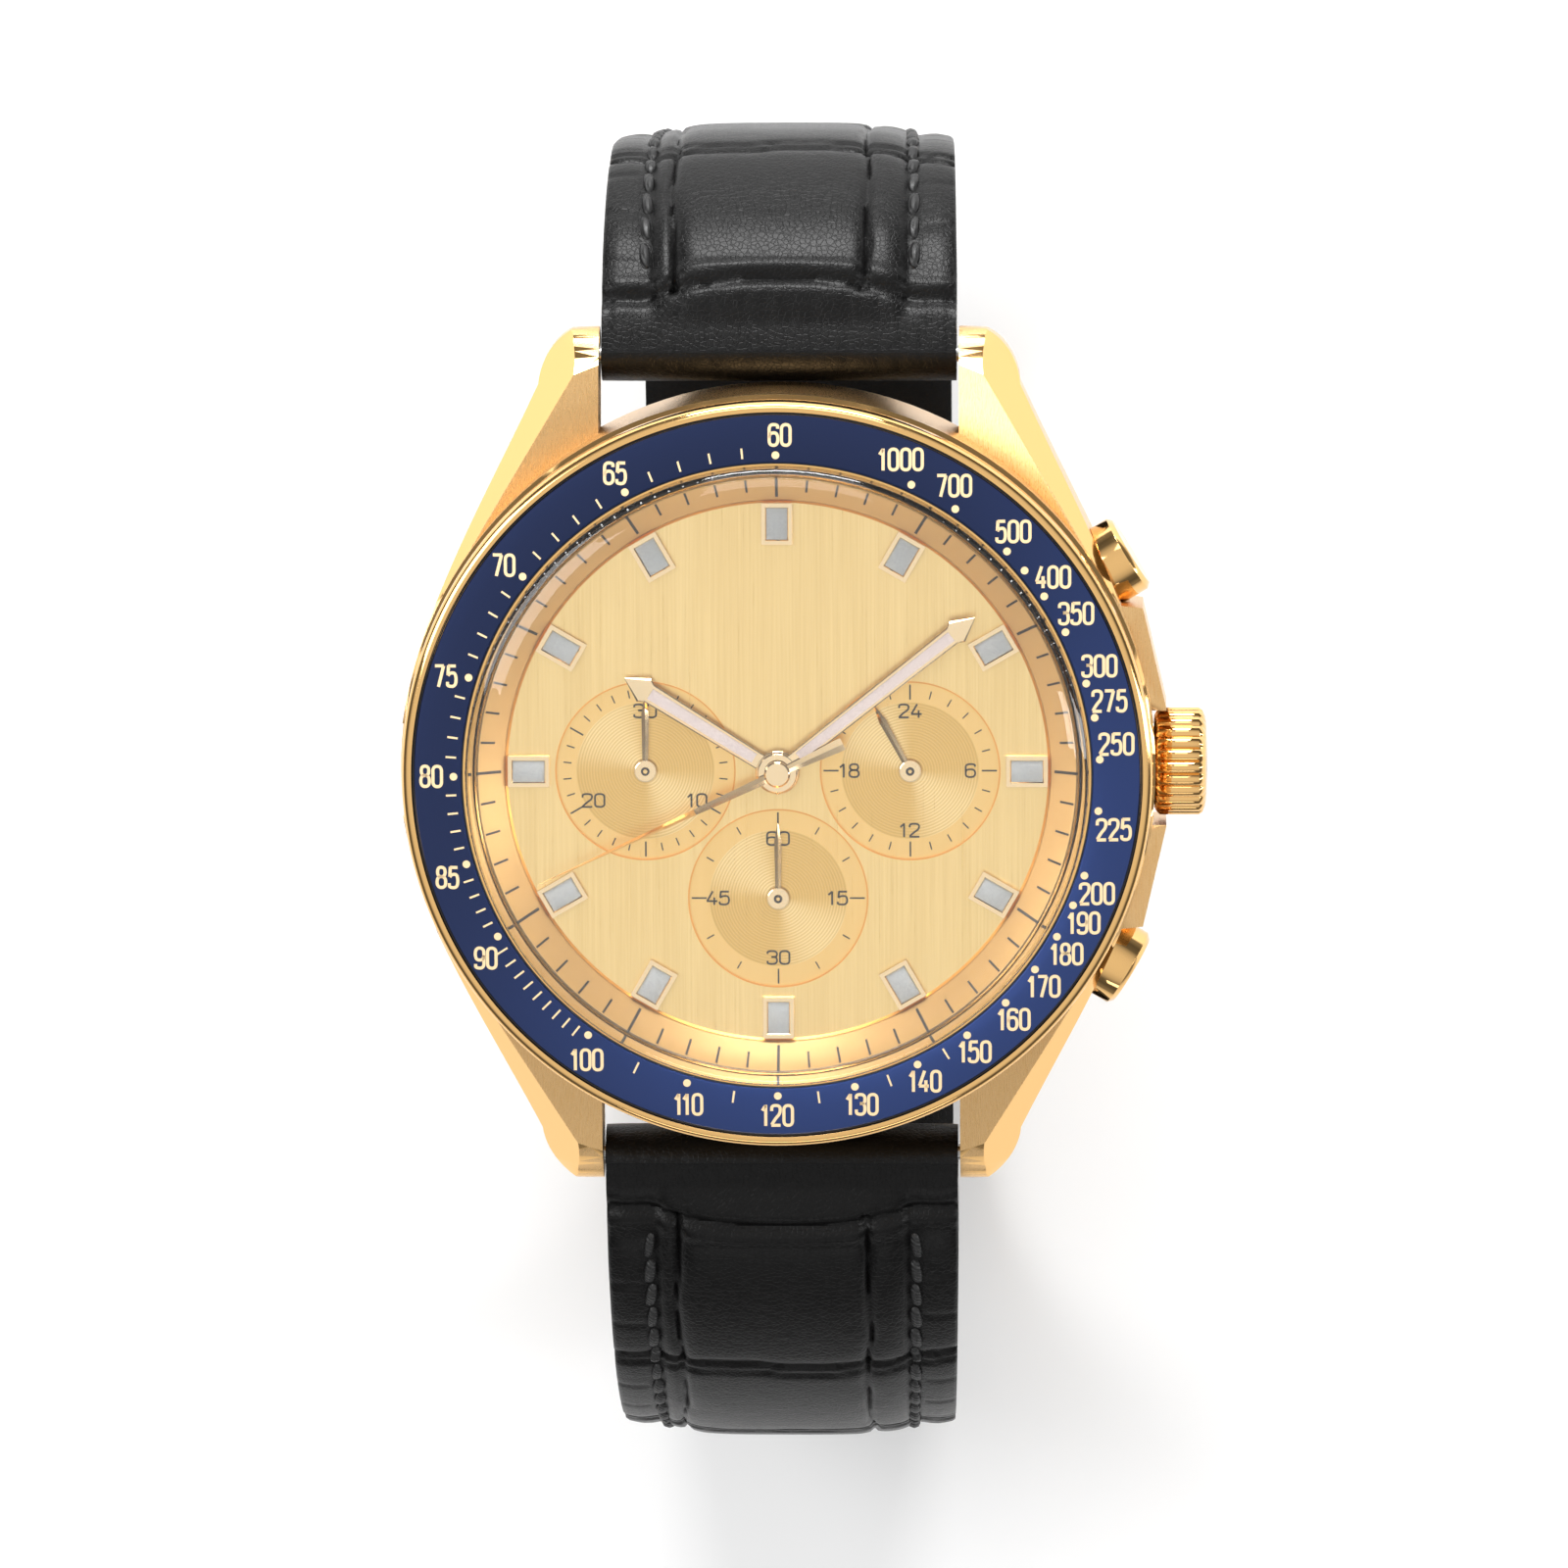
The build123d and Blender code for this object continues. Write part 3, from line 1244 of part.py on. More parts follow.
# ---- dial, markers and hands ----
dial_radius = case_bore - 0.2
marker_middle = 13.74
marker_long, marker_wide = 2.15, 1.57
lume_long, lume_wide = 1.62, 0.98
sub_places = (counter_place, day_place, seconds_place)
sub_sink = 0.12
with BuildPart() as dial:
    bar(upright(), dial_low, dial_high, dial_radius)
    for place in sub_places:
        bar(upright(place), dial_high - sub_sink, dial_high + 1, sub_dial_radius, mode=Mode.SUBTRACT)
        bar(upright(place), dial_low - 1, dial_high + 1, 0.3, mode=Mode.SUBTRACT)
    bar(upright(), dial_low - 1, dial_high + 1, hour_pipe + 0.15, mode=Mode.SUBTRACT)
dial.part.label = "dial"
export_step(dial.part, "parts/dial.step")

with BuildPart() as hour_markers:
    with BuildSketch(upright().offset(dial_high)) as marker_frames:
        with PolarLocations(marker_middle, 12):
            Rectangle(marker_long, marker_wide)
            Rectangle(lume_long, lume_wide, mode=Mode.SUBTRACT)
    extrude(marker_frames.sketch, amount=marker_high - dial_high)
    with BuildSketch(upright().offset(dial_high)) as marker_fill:
        with PolarLocations(marker_middle, 12):
            Rectangle(lume_long - 0.02, lume_wide - 0.02)
    extrude(marker_fill.sketch, amount=marker_high - dial_high - 0.06)
hour_markers.part.label = "hour_markers"
export_step(hour_markers.part, "parts/hour_markers.step")

hour_hand_angle = 90.0 - 302.0
minute_hand_angle = 90.0 - 51.6
seconds_hand_angle = 90.0 - 245.0
day_hand_angle = 90.0 - 331.5


def hand_corners(angle, points):
    """Outline of a hand from points along it and beside it, turned to its direction."""
    along, beside = turned(1.0, angle), turned(1.0, angle + 90)
    corners = []
    for distance, half in [*points, *[(d, -h) for d, h in reversed(points)]]:
        corners.append(
            (distance * along[0] + half * beside[0], distance * along[1] + half * beside[1])
        )
    return corners


def baton_hand(low, angle, length, half, slot_start, hub, bore):
    """Baton hand with a stepped point, a slot for its lume and a round hub."""
    step = length - 1.5
    slab(
        upright(),
        low,
        low + hand_thick,
        hand_corners(angle, [(0.4, half * 0.8), (step, half), (step + 0.25, half + 0.22), (length, 0.03)]),
    )
    slab(
        upright(),
        low - 0.02,
        low + hand_thick + 0.02,
        hand_corners(angle, [(slot_start, half * 0.5), (step - 0.1, half * 0.55)]),
        mode=Mode.SUBTRACT,
    )
    bar(upright(), low, low + hand_thick, hub)
    bar(upright(), low - 1, low + 1, bore, mode=Mode.SUBTRACT)


def hand_lume(low, angle, length, half, slot_start):
    """Lume that fills a baton hand's slot."""
    step = length - 1.5
    slab(
        upright(),
        low,
        low + hand_thick - 0.03,
        hand_corners(angle, [(slot_start + 0.02, half * 0.48), (step - 0.12, half * 0.53)]),
    )


hour_shape = (hour_hand_low, hour_hand_angle, 9.9, 0.55)
minute_shape = (minute_hand_low, minute_hand_angle, 13.9, 0.52)
hour_hub = 1.2
minute_hub = 1.1
slot_from = 1.5
with BuildPart() as hour_hand:
    baton_hand(*hour_shape, slot_from, hour_hub, hour_pipe)
    hand_lume(*hour_shape, slot_from)
hour_hand.part.label = "hour_hand"
export_step(hour_hand.part, "parts/hour_hand.step")

with BuildPart() as minute_hand:
    baton_hand(*minute_shape, slot_from + 1.0, minute_hub, cannon_outer)
    hand_lume(*minute_shape, slot_from + 1.0)
minute_hand.part.label = "minute_hand"
export_step(minute_hand.part, "parts/minute_hand.step")

with BuildPart() as chronograph_hand:
    slab(
        upright(),
        seconds_hand_low,
        seconds_hand_low + hand_thick,
        hand_corners(
            seconds_hand_angle, [(-4.0, 0.32), (-3.6, 0.42), (-0.6, 0.2), (0.6, 0.3), (14.5, 0.04)]
        ),
    )
    bar(upright(), seconds_hand_low, seconds_hand_low + hand_thick + 0.15, 0.8)
    bar(upright(), seconds_hand_low - 1, seconds_hand_low + 1, arbor_radius, mode=Mode.SUBTRACT)
chronograph_hand.part.label = "chronograph_hand"
export_step(chronograph_hand.part, "parts/chronograph_hand.step")


def sub_hand(place, angle, bore):
    """Short leaf hand of a sub-dial."""
    corners = hand_corners(angle, [(-0.2, 0.14), (3.0, 0.15), (3.6, 0.13), (4.2, 0.02)])
    slab(upright(place), sub_hand_low, sub_hand_low + sub_hand_thick, corners)
    bar(upright(place), sub_hand_low, sub_hand_low + sub_hand_thick, 0.6)
    bar(upright(place), sub_hand_low - 1, sub_hand_low + 1, bore, mode=Mode.SUBTRACT)


with BuildPart() as small_seconds_hand:
    sub_hand(seconds_place, 90.0, pivot_radius)
small_seconds_hand.part.label = "small_seconds_hand"
export_step(small_seconds_hand.part, "parts/small_seconds_hand.step")

with BuildPart() as minute_counter_hand:
    sub_hand(counter_place, 90.0, arbor_radius)
minute_counter_hand.part.label = "minute_counter_hand"
export_step(minute_counter_hand.part, "parts/minute_counter_hand.step")

with BuildPart() as day_hour_hand:
    sub_hand(day_place, day_hand_angle, pivot_radius)
day_hour_hand.part.label = "day_hour_hand"
export_step(day_hour_hand.part, "parts/day_hour_hand.step")

# ---- strap bars, strap and buckle ----
bar_z = case_back_z + bar_height
with BuildPart() as spring_bars:
    for bar_side in (-bar_y, bar_y):
        with BuildSketch(Plane.YZ.offset(-lug_gap / 2 + 0.15)) as bar_body:
            with Locations((bar_side, bar_z)):
                Circle(bar_radius)
        extrude(bar_body.sketch, amount=lug_gap - 0.3)
        with BuildSketch(Plane.YZ.offset(-lug_gap / 2 - pin_deep)) as bar_pins:
            with Locations((bar_side, bar_z)):
                Circle(pin_radius)
        extrude(bar_pins.sketch, amount=lug_gap + 2 * pin_deep)
spring_bars.part.label = "spring_bars"
export_step(spring_bars.part, "parts/spring_bars.step")

# each strap follows tangent arcs: shoulder, side, then the turn into the flat bottom
leave_angle = 12.0
side_radius = 80.0
tail_z = keeper_thick + floor_gap + strap_thin / 2
inner_z = tail_z + strap_thin + soft_gap
buckle_y = -13.0
front_bar_y = -21.0
fixed_keeper_y = 0.0
free_keeper_y = 6.0


def run_of_arcs(start, side, reach, side_turn, low_z):
    """Arcs of one strap's middle line, each as centre, radius, first and last heading."""
    shoulder = (reach - start[0]) / (1 - math.sin(math.radians(leave_angle)))
    top = (start[0] - shoulder * math.sin(math.radians(leave_angle)),
           start[1] - shoulder * math.cos(math.radians(leave_angle)))
    flank = (top[0] + shoulder - side_radius, top[1])
    turn_at = math.radians(90 + side_turn)
    turn_y = flank[0] + side_radius * math.sin(turn_at)
    turn_z = flank[1] + side_radius * math.cos(turn_at)
    bottom = (turn_z - low_z) / (1 + math.cos(turn_at))
    low = (turn_y - bottom * math.sin(turn_at), turn_z - bottom * math.cos(turn_at))
    return (
        (top, shoulder, leave_angle, 90.0, side),
        (flank, side_radius, 90.0, 90.0 + side_turn, side),
        (low, bottom, 90.0 + side_turn, 180.0, side),
    )


def on_arc(arc, heading, out):
    """Point beside an arc of the strap, where its heading is a given angle."""
    middle, radius, _, _, side = arc
    turn = math.radians(heading)
    return (
        side * (middle[0] + (radius + out) * math.sin(turn)),
        middle[1] + (radius + out) * math.cos(turn),
    )


def leather(arc_list, flat, thick_at, side, tail=None):
    """Outline of a strap half in the plane across the watch, from bar end to tip."""
    outer, inner = [], []
    for arc, count in zip(arc_list, (5, 4, 5)):
        for step in range(count):
            heading = arc[2] + (arc[3] - arc[2]) * step / count
            share = (heading - leave_angle) / (180 - leave_angle)
            half = thick_at(share) / 2
            outer.append(on_arc(arc, heading, half))
            inner.append(on_arc(arc, heading, -half))
    first_y, last_y, low_z = flat
    for step in range(8):
        flat_y = first_y + (last_y - first_y) * step / 7
        outer.append((flat_y, low_z - strap_thin / 2))
        inner.append((flat_y, low_z + strap_thin / 2))
    if tail is not None:
        middle, radius, last = tail
        for step in range(1, 5):
            turn = math.radians(last * step / 4)
            for points, out in ((outer, strap_thin / 2), (inner, -strap_thin / 2)):
                points.append(
                    (
                        middle[0] + (radius + out) * math.sin(turn),
                        middle[1] - (radius + out) * math.cos(turn),
                    )
                )
    with BuildSketch(Plane.YZ.offset(-strap_width / 2)) as outline:
        with BuildLine():
            outer_line = Spline(*outer)
            inner_line = Spline(*inner)
            Line(outer_line @ 1, inner_line @ 1)
            ThreePointArc(
                outer_line @ 0,
                (side * (bar_y - 1.3), bar_z),
                inner_line @ 0,
            )
        make_face()
        with Locations((side * bar_y, bar_z)):
            Circle(bar_radius + running, mode=Mode.SUBTRACT)
    return outline.sketch


def thickness(share):
    """Padded near the case, thin where the strap lies flat in the buckle."""
    return strap_thin + (strap_end_thick - strap_thin) * max(0.0, 1 - share / 0.8)


def narrow_downwards():
    """Front view that keeps a strap full width at the case and narrower at the buckle."""
    half, tip_half = strap_width / 2, strap_tip_width / 2
    with BuildSketch(Plane.XZ.offset(-strap_reach_6 - 20)) as front:
        with BuildLine():
            Polyline(
                (-half, case_back_z + 10),
                (-half, case_back_z),
                (-tip_half, case_back_z - 32),
                (-tip_half, -1),
                (tip_half, -1),
                (tip_half, case_back_z - 32),
                (half, case_back_z),
                (half, case_back_z + 10),
                close=True,
            )
        make_face()
    extrude(front.sketch, amount=2 * (strap_reach_6 + 20), mode=Mode.INTERSECT)


def keeper(middle_y):
    """Leather loop round both layers of the strap; the watch stands on its underside."""
    inside_low = tail_z - strap_thin / 2 - floor_gap
    inside_high = inner_z + strap_thin / 2 + floor_gap
    with BuildPart() as loop:
        with Locations((0, middle_y, (inside_low + inside_high) / 2)):
            Box(
                strap_tip_width + 2 * soft_gap + 2 * keeper_thick,
                keeper_long,
                inside_high - inside_low + 2 * keeper_thick,
            )
            fillet(edges().filter_by(Axis.Y), radius=keeper_thick * 0.9)
            Box(
                strap_tip_width + 2 * soft_gap,
                keeper_long + 1,
                inside_high - inside_low,
                mode=Mode.SUBTRACT,
            )
    return loop.part


arcs_12 = run_of_arcs((bar_y, bar_z), 1, strap_reach_12 - strap_thick / 2, 8.0, inner_z)
arcs_6 = run_of_arcs((bar_y, bar_z), -1, strap_reach_6 - strap_thick / 2, 10.0, tail_z)
tail_turn = 40.0
tail_radius = arcs_12[2][1] + strap_thin + soft_gap
tail_start = arcs_12[2][0][0]
flat_6 = -arcs_6[2][0][0]
short_end = buckle_y - 1.4
tongue_hole_y = -16.2
tongue_hole_long = 4.4
tongue_hole_wide = 1.9
hole_spacing = 7.0
with BuildPart() as strap_short:
    short_outline = leather(
        arcs_12,
        (tail_start, short_end, inner_z),
        thickness,
        1,
    )
    extrude(short_outline, amount=strap_width)
    narrow_downwards()
    with BuildSketch(Plane.YZ.offset(-strap_width)) as bar_tunnel:
        with Locations((buckle_y, inner_z)):
            Circle(frame_bar + running)
    extrude(bar_tunnel.sketch, amount=2 * strap_width, mode=Mode.SUBTRACT)
    with Locations((0, short_end, inner_z)):
        Box(tongue_hole_wide, 6.4, 4, mode=Mode.SUBTRACT)
    add(keeper(fixed_keeper_y))
strap_short.part.label = "strap_short"
export_step(strap_short.part, "parts/strap_short.step")

with BuildPart() as strap_long:
    long_outline = leather(
        arcs_6,
        (flat_6, tail_start, tail_z),
        thickness,
        -1,
        tail=((tail_start, tail_z + tail_radius), tail_radius, tail_turn),
    )
    extrude(long_outline, amount=strap_width)
    narrow_downwards()
    with BuildSketch() as tongue_holes:
        with Locations((0, tongue_hole_y)):
            SlotOverall(tongue_hole_long, tongue_hole_wide, rotation=90)
        for spare in (1, 2, 3):
            with Locations((0, tongue_hole_y + spare * hole_spacing)):
                Circle(0.9)
    extrude(tongue_holes.sketch, amount=tail_z + strap_thin, mode=Mode.SUBTRACT)
strap_long.part.label = "strap_long"
export_step(strap_long.part, "parts/strap_long.step")

frame_inner = strap_tip_width / 2 + soft_gap
frame_wide = 1.5
front_high = tail_z - strap_thin / 2 - 0.1
with BuildPart() as buckle_frame:
    for side in (-1, 1):
        start = min(side * frame_inner, side * (frame_inner + frame_wide))
        with BuildSketch(Plane.YZ.offset(start)) as cheek:
            with BuildLine():
                Polyline(
                    (buckle_y + 1.1, inner_z - 0.6),
                    (buckle_y + 0.9, inner_z + 1.0),
                    (buckle_y - 0.9, inner_z + 1.0),
                    (front_bar_y - 0.9, front_high + 0.5),
                    (front_bar_y - 0.9, floor_gap),
                    (front_bar_y + 1.6, floor_gap),
                    close=True,
                )
            make_face()
            with Locations((buckle_y, inner_z)):
                Circle(frame_bar + 0.01, mode=Mode.SUBTRACT)
        extrude(cheek.sketch, amount=frame_wide)
    with Locations((0, front_bar_y, (front_high + floor_gap) / 2)):
        Box(2 * frame_inner, 1.8, front_high - floor_gap)
    with Locations((0, front_bar_y, 0)):
        Box(1.4, 4, 1.3, mode=Mode.SUBTRACT)
    with BuildSketch(Plane.YZ.offset(-frame_inner - frame_wide)) as heel:
        with Locations((buckle_y, inner_z)):
            Circle(frame_bar)
    extrude(heel.sketch, amount=2 * (frame_inner + frame_wide))
buckle_frame.part.label = "buckle_frame"
export_step(buckle_frame.part, "parts/buckle_frame.step")

with BuildPart() as buckle_tongue:
    tongue_half = 0.6
    with BuildSketch(Plane.YZ.offset(-tongue_half)) as tongue_side:
        with BuildLine():
            Polyline(
                (buckle_y - 1.0, inner_z - 0.95),
                (tongue_hole_y - 1.1, floor_gap),
                (front_bar_y - 0.7, floor_gap),
                (front_bar_y - 0.7, floor_gap + 0.5),
                (tongue_hole_y - 0.6, floor_gap + 0.65),
                (buckle_y - 1.1, inner_z + 0.6),
                close=True,
            )
        make_face()
        with Locations((buckle_y, inner_z)):
            Circle(frame_bar + 0.4)
            Circle(frame_bar + running, mode=Mode.SUBTRACT)
    extrude(tongue_side.sketch, amount=2 * tongue_half)
buckle_tongue.part.label = "buckle_tongue"
export_step(buckle_tongue.part, "parts/buckle_tongue.step")


with BuildPart() as keeper_free:
    add(keeper(free_keeper_y))
keeper_free.part.label = "keeper_free"
export_step(keeper_free.part, "parts/keeper_free.step")
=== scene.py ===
# %% [markdown]
# # A chronograph wristwatch
# The frame comes first. It holds every part of the watch in its real place, with the dial's axis along +Z,
# 12 o'clock towards +Y and the crown towards +X. Sizes below are written in millimetres.

# %%
import bpy
import bmesh
import math
import random
from mathutils import Matrix, Vector


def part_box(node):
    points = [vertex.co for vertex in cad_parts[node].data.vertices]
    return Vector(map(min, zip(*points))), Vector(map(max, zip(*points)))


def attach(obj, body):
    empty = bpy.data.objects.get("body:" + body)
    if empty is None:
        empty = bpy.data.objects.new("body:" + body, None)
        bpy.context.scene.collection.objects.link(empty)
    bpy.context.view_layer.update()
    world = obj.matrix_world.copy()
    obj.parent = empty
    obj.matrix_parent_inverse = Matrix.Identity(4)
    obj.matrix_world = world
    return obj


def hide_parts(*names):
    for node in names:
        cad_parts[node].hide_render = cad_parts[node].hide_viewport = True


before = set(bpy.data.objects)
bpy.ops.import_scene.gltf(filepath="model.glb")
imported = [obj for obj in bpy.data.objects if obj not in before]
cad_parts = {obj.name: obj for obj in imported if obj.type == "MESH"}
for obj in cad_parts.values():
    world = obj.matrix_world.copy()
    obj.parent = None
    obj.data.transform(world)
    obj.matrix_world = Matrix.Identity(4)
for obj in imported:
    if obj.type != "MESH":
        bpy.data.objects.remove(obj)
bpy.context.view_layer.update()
MM = 0.001
BACK = 46.0          # height of the case back's underside above the table
CROWN_HIGH = BACK + 4.6
DIAL_HIGH = BACK + 8.3
INSERT_HIGH = BACK + 10.75
SUB_SINK = 0.12
SUB_RADIUS = 4.93
COUNTER, DAY, SECONDS = (-7.3, 0.0), (7.3, 0.0), (0.0, -7.1)

# %% [markdown]
# ## Shader sums
# A `Value` is one output of a shader node. Adding, multiplying or comparing values makes the nodes for it,
# so that a pattern reads like a formula.

# %%
class Value:
    def __init__(self, finish, socket):
        self.finish, self.socket = finish, socket

    def maths(self, kind, *others, clamp=False):
        made = self.finish.node("ShaderNodeMath", operation=kind, use_clamp=clamp)
        for slot, item in zip(made.inputs, (self, *others)):
            self.finish.feed(slot, item)
        return Value(self.finish, made.outputs[0])

    def __add__(self, other):
        return self.maths("ADD", other)

    def __sub__(self, other):
        return self.maths("SUBTRACT", other)

    def __rsub__(self, other):
        return (self * -1.0) + other

    def __mul__(self, other):
        return self.maths("MULTIPLY", other)

    def __truediv__(self, other):
        return self.maths("DIVIDE", other)

    def __lt__(self, other):
        return self.maths("LESS_THAN", other)

    def __gt__(self, other):
        return self.maths("GREATER_THAN", other)

    __radd__ = __add__
    __rmul__ = __mul__

    def wave(self):
        return self.maths("SINE")

    def step(self, low, high):
        """0 below low, 1 above high and a smooth rise between them."""
        made = self.finish.node("ShaderNodeMapRange", interpolation_type="SMOOTHSTEP")
        for name, item in (("Value", self), ("From Min", low), ("From Max", high)):
            self.finish.feed(made.inputs[name], item)
        return Value(self.finish, made.outputs[0])


class Finish:
    """A material whose patterns are written as sums of values."""

    def __init__(self, name, colour, metal=0.0, rough=0.4, **constants):
        self.material = bpy.data.materials.new(name)
        self.material.use_nodes = True
        self.tree = self.material.node_tree
        self.surface = self.tree.nodes["Principled BSDF"]
        self.surface.inputs["Base Color"].default_value = (*colour, 1)
        self.surface.inputs["Metallic"].default_value = metal
        self.surface.inputs["Roughness"].default_value = rough
        for key, amount in constants.items():
            self.surface.inputs[key.replace("_", " ")].default_value = amount

    def node(self, kind, **settings):
        made = self.tree.nodes.new(kind)
        for key, setting in settings.items():
            setattr(made, key, setting)
        return made

    def feed(self, slot, item):
        if isinstance(item, Value):
            self.tree.links.new(item.socket, slot)
        elif isinstance(item, (tuple, list)) and len(item) == 3 and slot.type == "RGBA":
            slot.default_value = (*item, 1)
        else:
            slot.default_value = item

    def place(self):
        """The point's x, y and z in millimetres."""
        if not hasattr(self, "_place"):
            spot = self.node("ShaderNodeTexCoord").outputs["Object"]
            parts = self.node("ShaderNodeSeparateXYZ")
            self.tree.links.new(spot, parts.inputs[0])
            self._place = [Value(self, out) * 1000.0 for out in parts.outputs]
        return self._place

    def joined(self, x, y, z):
        made = self.node("ShaderNodeCombineXYZ")
        for slot, item in zip(made.inputs, (x, y, z)):
            self.feed(slot, item)
        return Value(self, made.outputs[0])

    def noise(self, where, scale=1.0, detail=3.0, rough=0.5):
        made = self.node("ShaderNodeTexNoise")
        self.feed(made.inputs["Vector"], where)
        for key, amount in (("Scale", scale), ("Detail", detail), ("Roughness", rough)):
            self.feed(made.inputs[key], amount)
        return Value(self, made.outputs[0])

    def cells(self, where, scale=1.0, feature="DISTANCE_TO_EDGE"):
        made = self.node("ShaderNodeTexVoronoi", feature=feature)
        self.feed(made.inputs["Vector"], where)
        self.feed(made.inputs["Scale"], scale)
        return Value(self, made.outputs[0])

    def mix(self, amount, first, second):
        made = self.node("ShaderNodeMix", data_type="RGBA")
        for name, item in (("Factor", amount), ("A", first), ("B", second)):
            kind = "VALUE" if name == "Factor" else "RGBA"
            slot = next(s for s in made.inputs if s.name == name and s.type == kind)
            self.feed(slot, item)
        return Value(self, next(s for s in made.outputs if s.type == "RGBA"))

    def shows(self, name, item):
        self.feed(self.surface.inputs[name], item)

    def mottled(self, scale, swing, least):
        """Roughness that wanders a little over the piece."""
        self.shows("Roughness", self.noise(self.joined(*self.place()), scale) * swing + least)

    def relief(self, height, depth, strength=1.0):
        """Height in 0 to 1, raised by a depth in millimetres."""
        made = self.node("ShaderNodeBump")
        self.feed(made.inputs["Height"], height)
        made.inputs["Distance"].default_value = depth * MM
        made.inputs["Strength"].default_value = strength
        self.tree.links.new(made.outputs[0], self.surface.inputs["Normal"])


# %% [markdown]
# ## Gold
# The case is gold plated: brushed on the flat top of each lug and on the flanks, mirror-bright elsewhere.
# The brushing is a very stretched noise, so it streaks in one direction.

# %%
GOLD = (0.87, 0.53, 0.205)
PALE_GOLD = (0.98, 0.76, 0.46)

polished = Finish("polished gold", GOLD, metal=1.0, rough=0.07)
x, y, z = polished.place()
smears = polished.noise(polished.joined(x, y, z), 0.35, 4.0)
polished.shows("Roughness", smears.step(0.35, 0.8) * 0.07 + 0.05)

brushed = Finish("brushed gold", GOLD, metal=1.0, rough=0.3)
x, y, z = brushed.place()
streaks = brushed.noise(brushed.joined(x * 9.0, y * 0.35, z * 9.0), 1.6, 5.0, 0.65)
brushed.shows("Roughness", streaks * 0.16 + 0.2)
brushed.shows("Base Color", brushed.mix(streaks.step(0.2, 0.8), (0.72, 0.445, 0.185), (0.82, 0.535, 0.255)))
brushed.relief(streaks, 0.012, 0.6)

edge_gold = Finish("hand gold", PALE_GOLD, metal=1.0, rough=0.12)
edge_gold.mottled(2.0, 0.06, 0.05)

# %% [markdown]
# ## The dial's finishes
# The dial is brushed from 12 to 6 o'clock. Inside each sub-dial fine rings are cut round its middle, and a
# plain ring round them carries the marks. Turned rings catch the light in two opposite fans. Here this is
# painted shade and highlight: the middle is coloured darker and two opposite fans of it lighter.

# %%
RINGED = 3.8         # outer radius of the turned rings
RING_PITCH = 0.16


def from_middle(finish, middle):
    x, y, _ = finish.place()
    dx, dy = x - middle[0], y - middle[1]
    return (dx * dx + dy * dy).maths("SQRT")


dial_finish = Finish("brushed champagne dial", (0.93, 0.68, 0.33), metal=1.0, rough=0.3)
x, y, z = dial_finish.place()
grain = dial_finish.noise(dial_finish.joined(x * 9.0, y * 0.09, 0.0), 1.0, 5.0, 0.7)
broad = dial_finish.noise(dial_finish.joined(x * 0.7, y * 0.03, 3.0), 1.0, 2.0, 0.6)
rings, outer_zone, inner_zone, painted_fan_highlight = 0.0, 0.0, 0.0, 0.0
for middle in (COUNTER, DAY, SECONDS):
    radius = from_middle(dial_finish, middle)
    inside = radius < RINGED
    rings = ((radius * (2 * math.pi / RING_PITCH)).wave() * 0.5 + 0.5) * inside + rings
    inner_zone = inside + inner_zone
    outer_zone = (radius < SUB_RADIUS) + outer_zone
    # painted highlight: two opposite quarters of each ringed middle are made lighter in colour
    fan = ((x - middle[0]) * (y - middle[1])) / (radius * radius + 0.01) * -1.5 + 0.15
    painted_fan_highlight = fan.step(0.0, 1.0) * inside + painted_fan_highlight
straight = grain * (1.0 - outer_zone)
dial_finish.relief(straight * 0.5 + rings * 0.9, 0.008, 0.5)
tone = dial_finish.mix((grain * 0.7 + broad * 0.3).step(0.3, 0.7), (0.80, 0.575, 0.24), (0.90, 0.68, 0.32))
tone = dial_finish.mix(outer_zone * 0.7, tone, (0.87, 0.565, 0.20))
# painted shade on the ringed middles, then the painted highlight on their fans
tone = dial_finish.mix(inner_zone * 0.55, tone, (0.70, 0.46, 0.15))
tone = dial_finish.mix(painted_fan_highlight * 0.9, tone, (1.0, 0.78, 0.40))
tone = dial_finish.mix(rings * 0.5, tone, (0.58, 0.35, 0.09))
dial_finish.shows("Base Color", tone)
dial_finish.shows("Roughness", grain * 0.16 + 0.22)

chapter_finish = Finish("satin chapter ring", (0.56, 0.34, 0.125), metal=0.6, rough=0.46)
radius = from_middle(chapter_finish, (0, 0))
fine = chapter_finish.noise(chapter_finish.joined(radius * 9.0, 0.0, 0.0), 2.0, 4.0)
chapter_finish.relief(fine, 0.01, 0.5)
chapter_finish.shows("Roughness", fine * 0.12 + 0.40)
# Painted shade: the half of the ring towards 6 o'clock is coloured darker.
_, y, _ = chapter_finish.place()
painted_shade_far_side = (y * -1.0 / radius).step(0.0, 1.0)
chapter_finish.shows("Base Color", chapter_finish.mix(painted_shade_far_side, (0.56, 0.34, 0.125), (0.32, 0.19, 0.065)))

# %% [markdown]
# ## Blue, black, glass and leather
# The insert is turned and dyed dark blue, so the rings of the turning show through. The leather carries a
# fine pebbled grain and wrinkles, over the large scales that are modelled further down.

# %%
blue = Finish("blue insert", (0.012, 0.024, 0.085), metal=0.85, Coat_Weight=0.35, Coat_Roughness=0.12)
radius = from_middle(blue, (0, 0))
turning = blue.noise(blue.joined(radius * 16.0, 0.0, 0.0), 2.0, 5.0, 0.7)
blue.relief(turning, 0.012, 0.6)
blue.shows("Roughness", turning * 0.14 + 0.24)
x, y, _ = blue.place()
# Painted highlight: the insert's lower right side is coloured a lighter blue.
painted_highlight_side = ((x * 0.64 - y * 0.77) / radius).step(-0.6, 1.0)
night = blue.mix(turning, (0.007, 0.015, 0.062), (0.013, 0.028, 0.098))
blue.shows("Base Color", blue.mix(painted_highlight_side * 0.8, night, (0.024, 0.052, 0.19)))

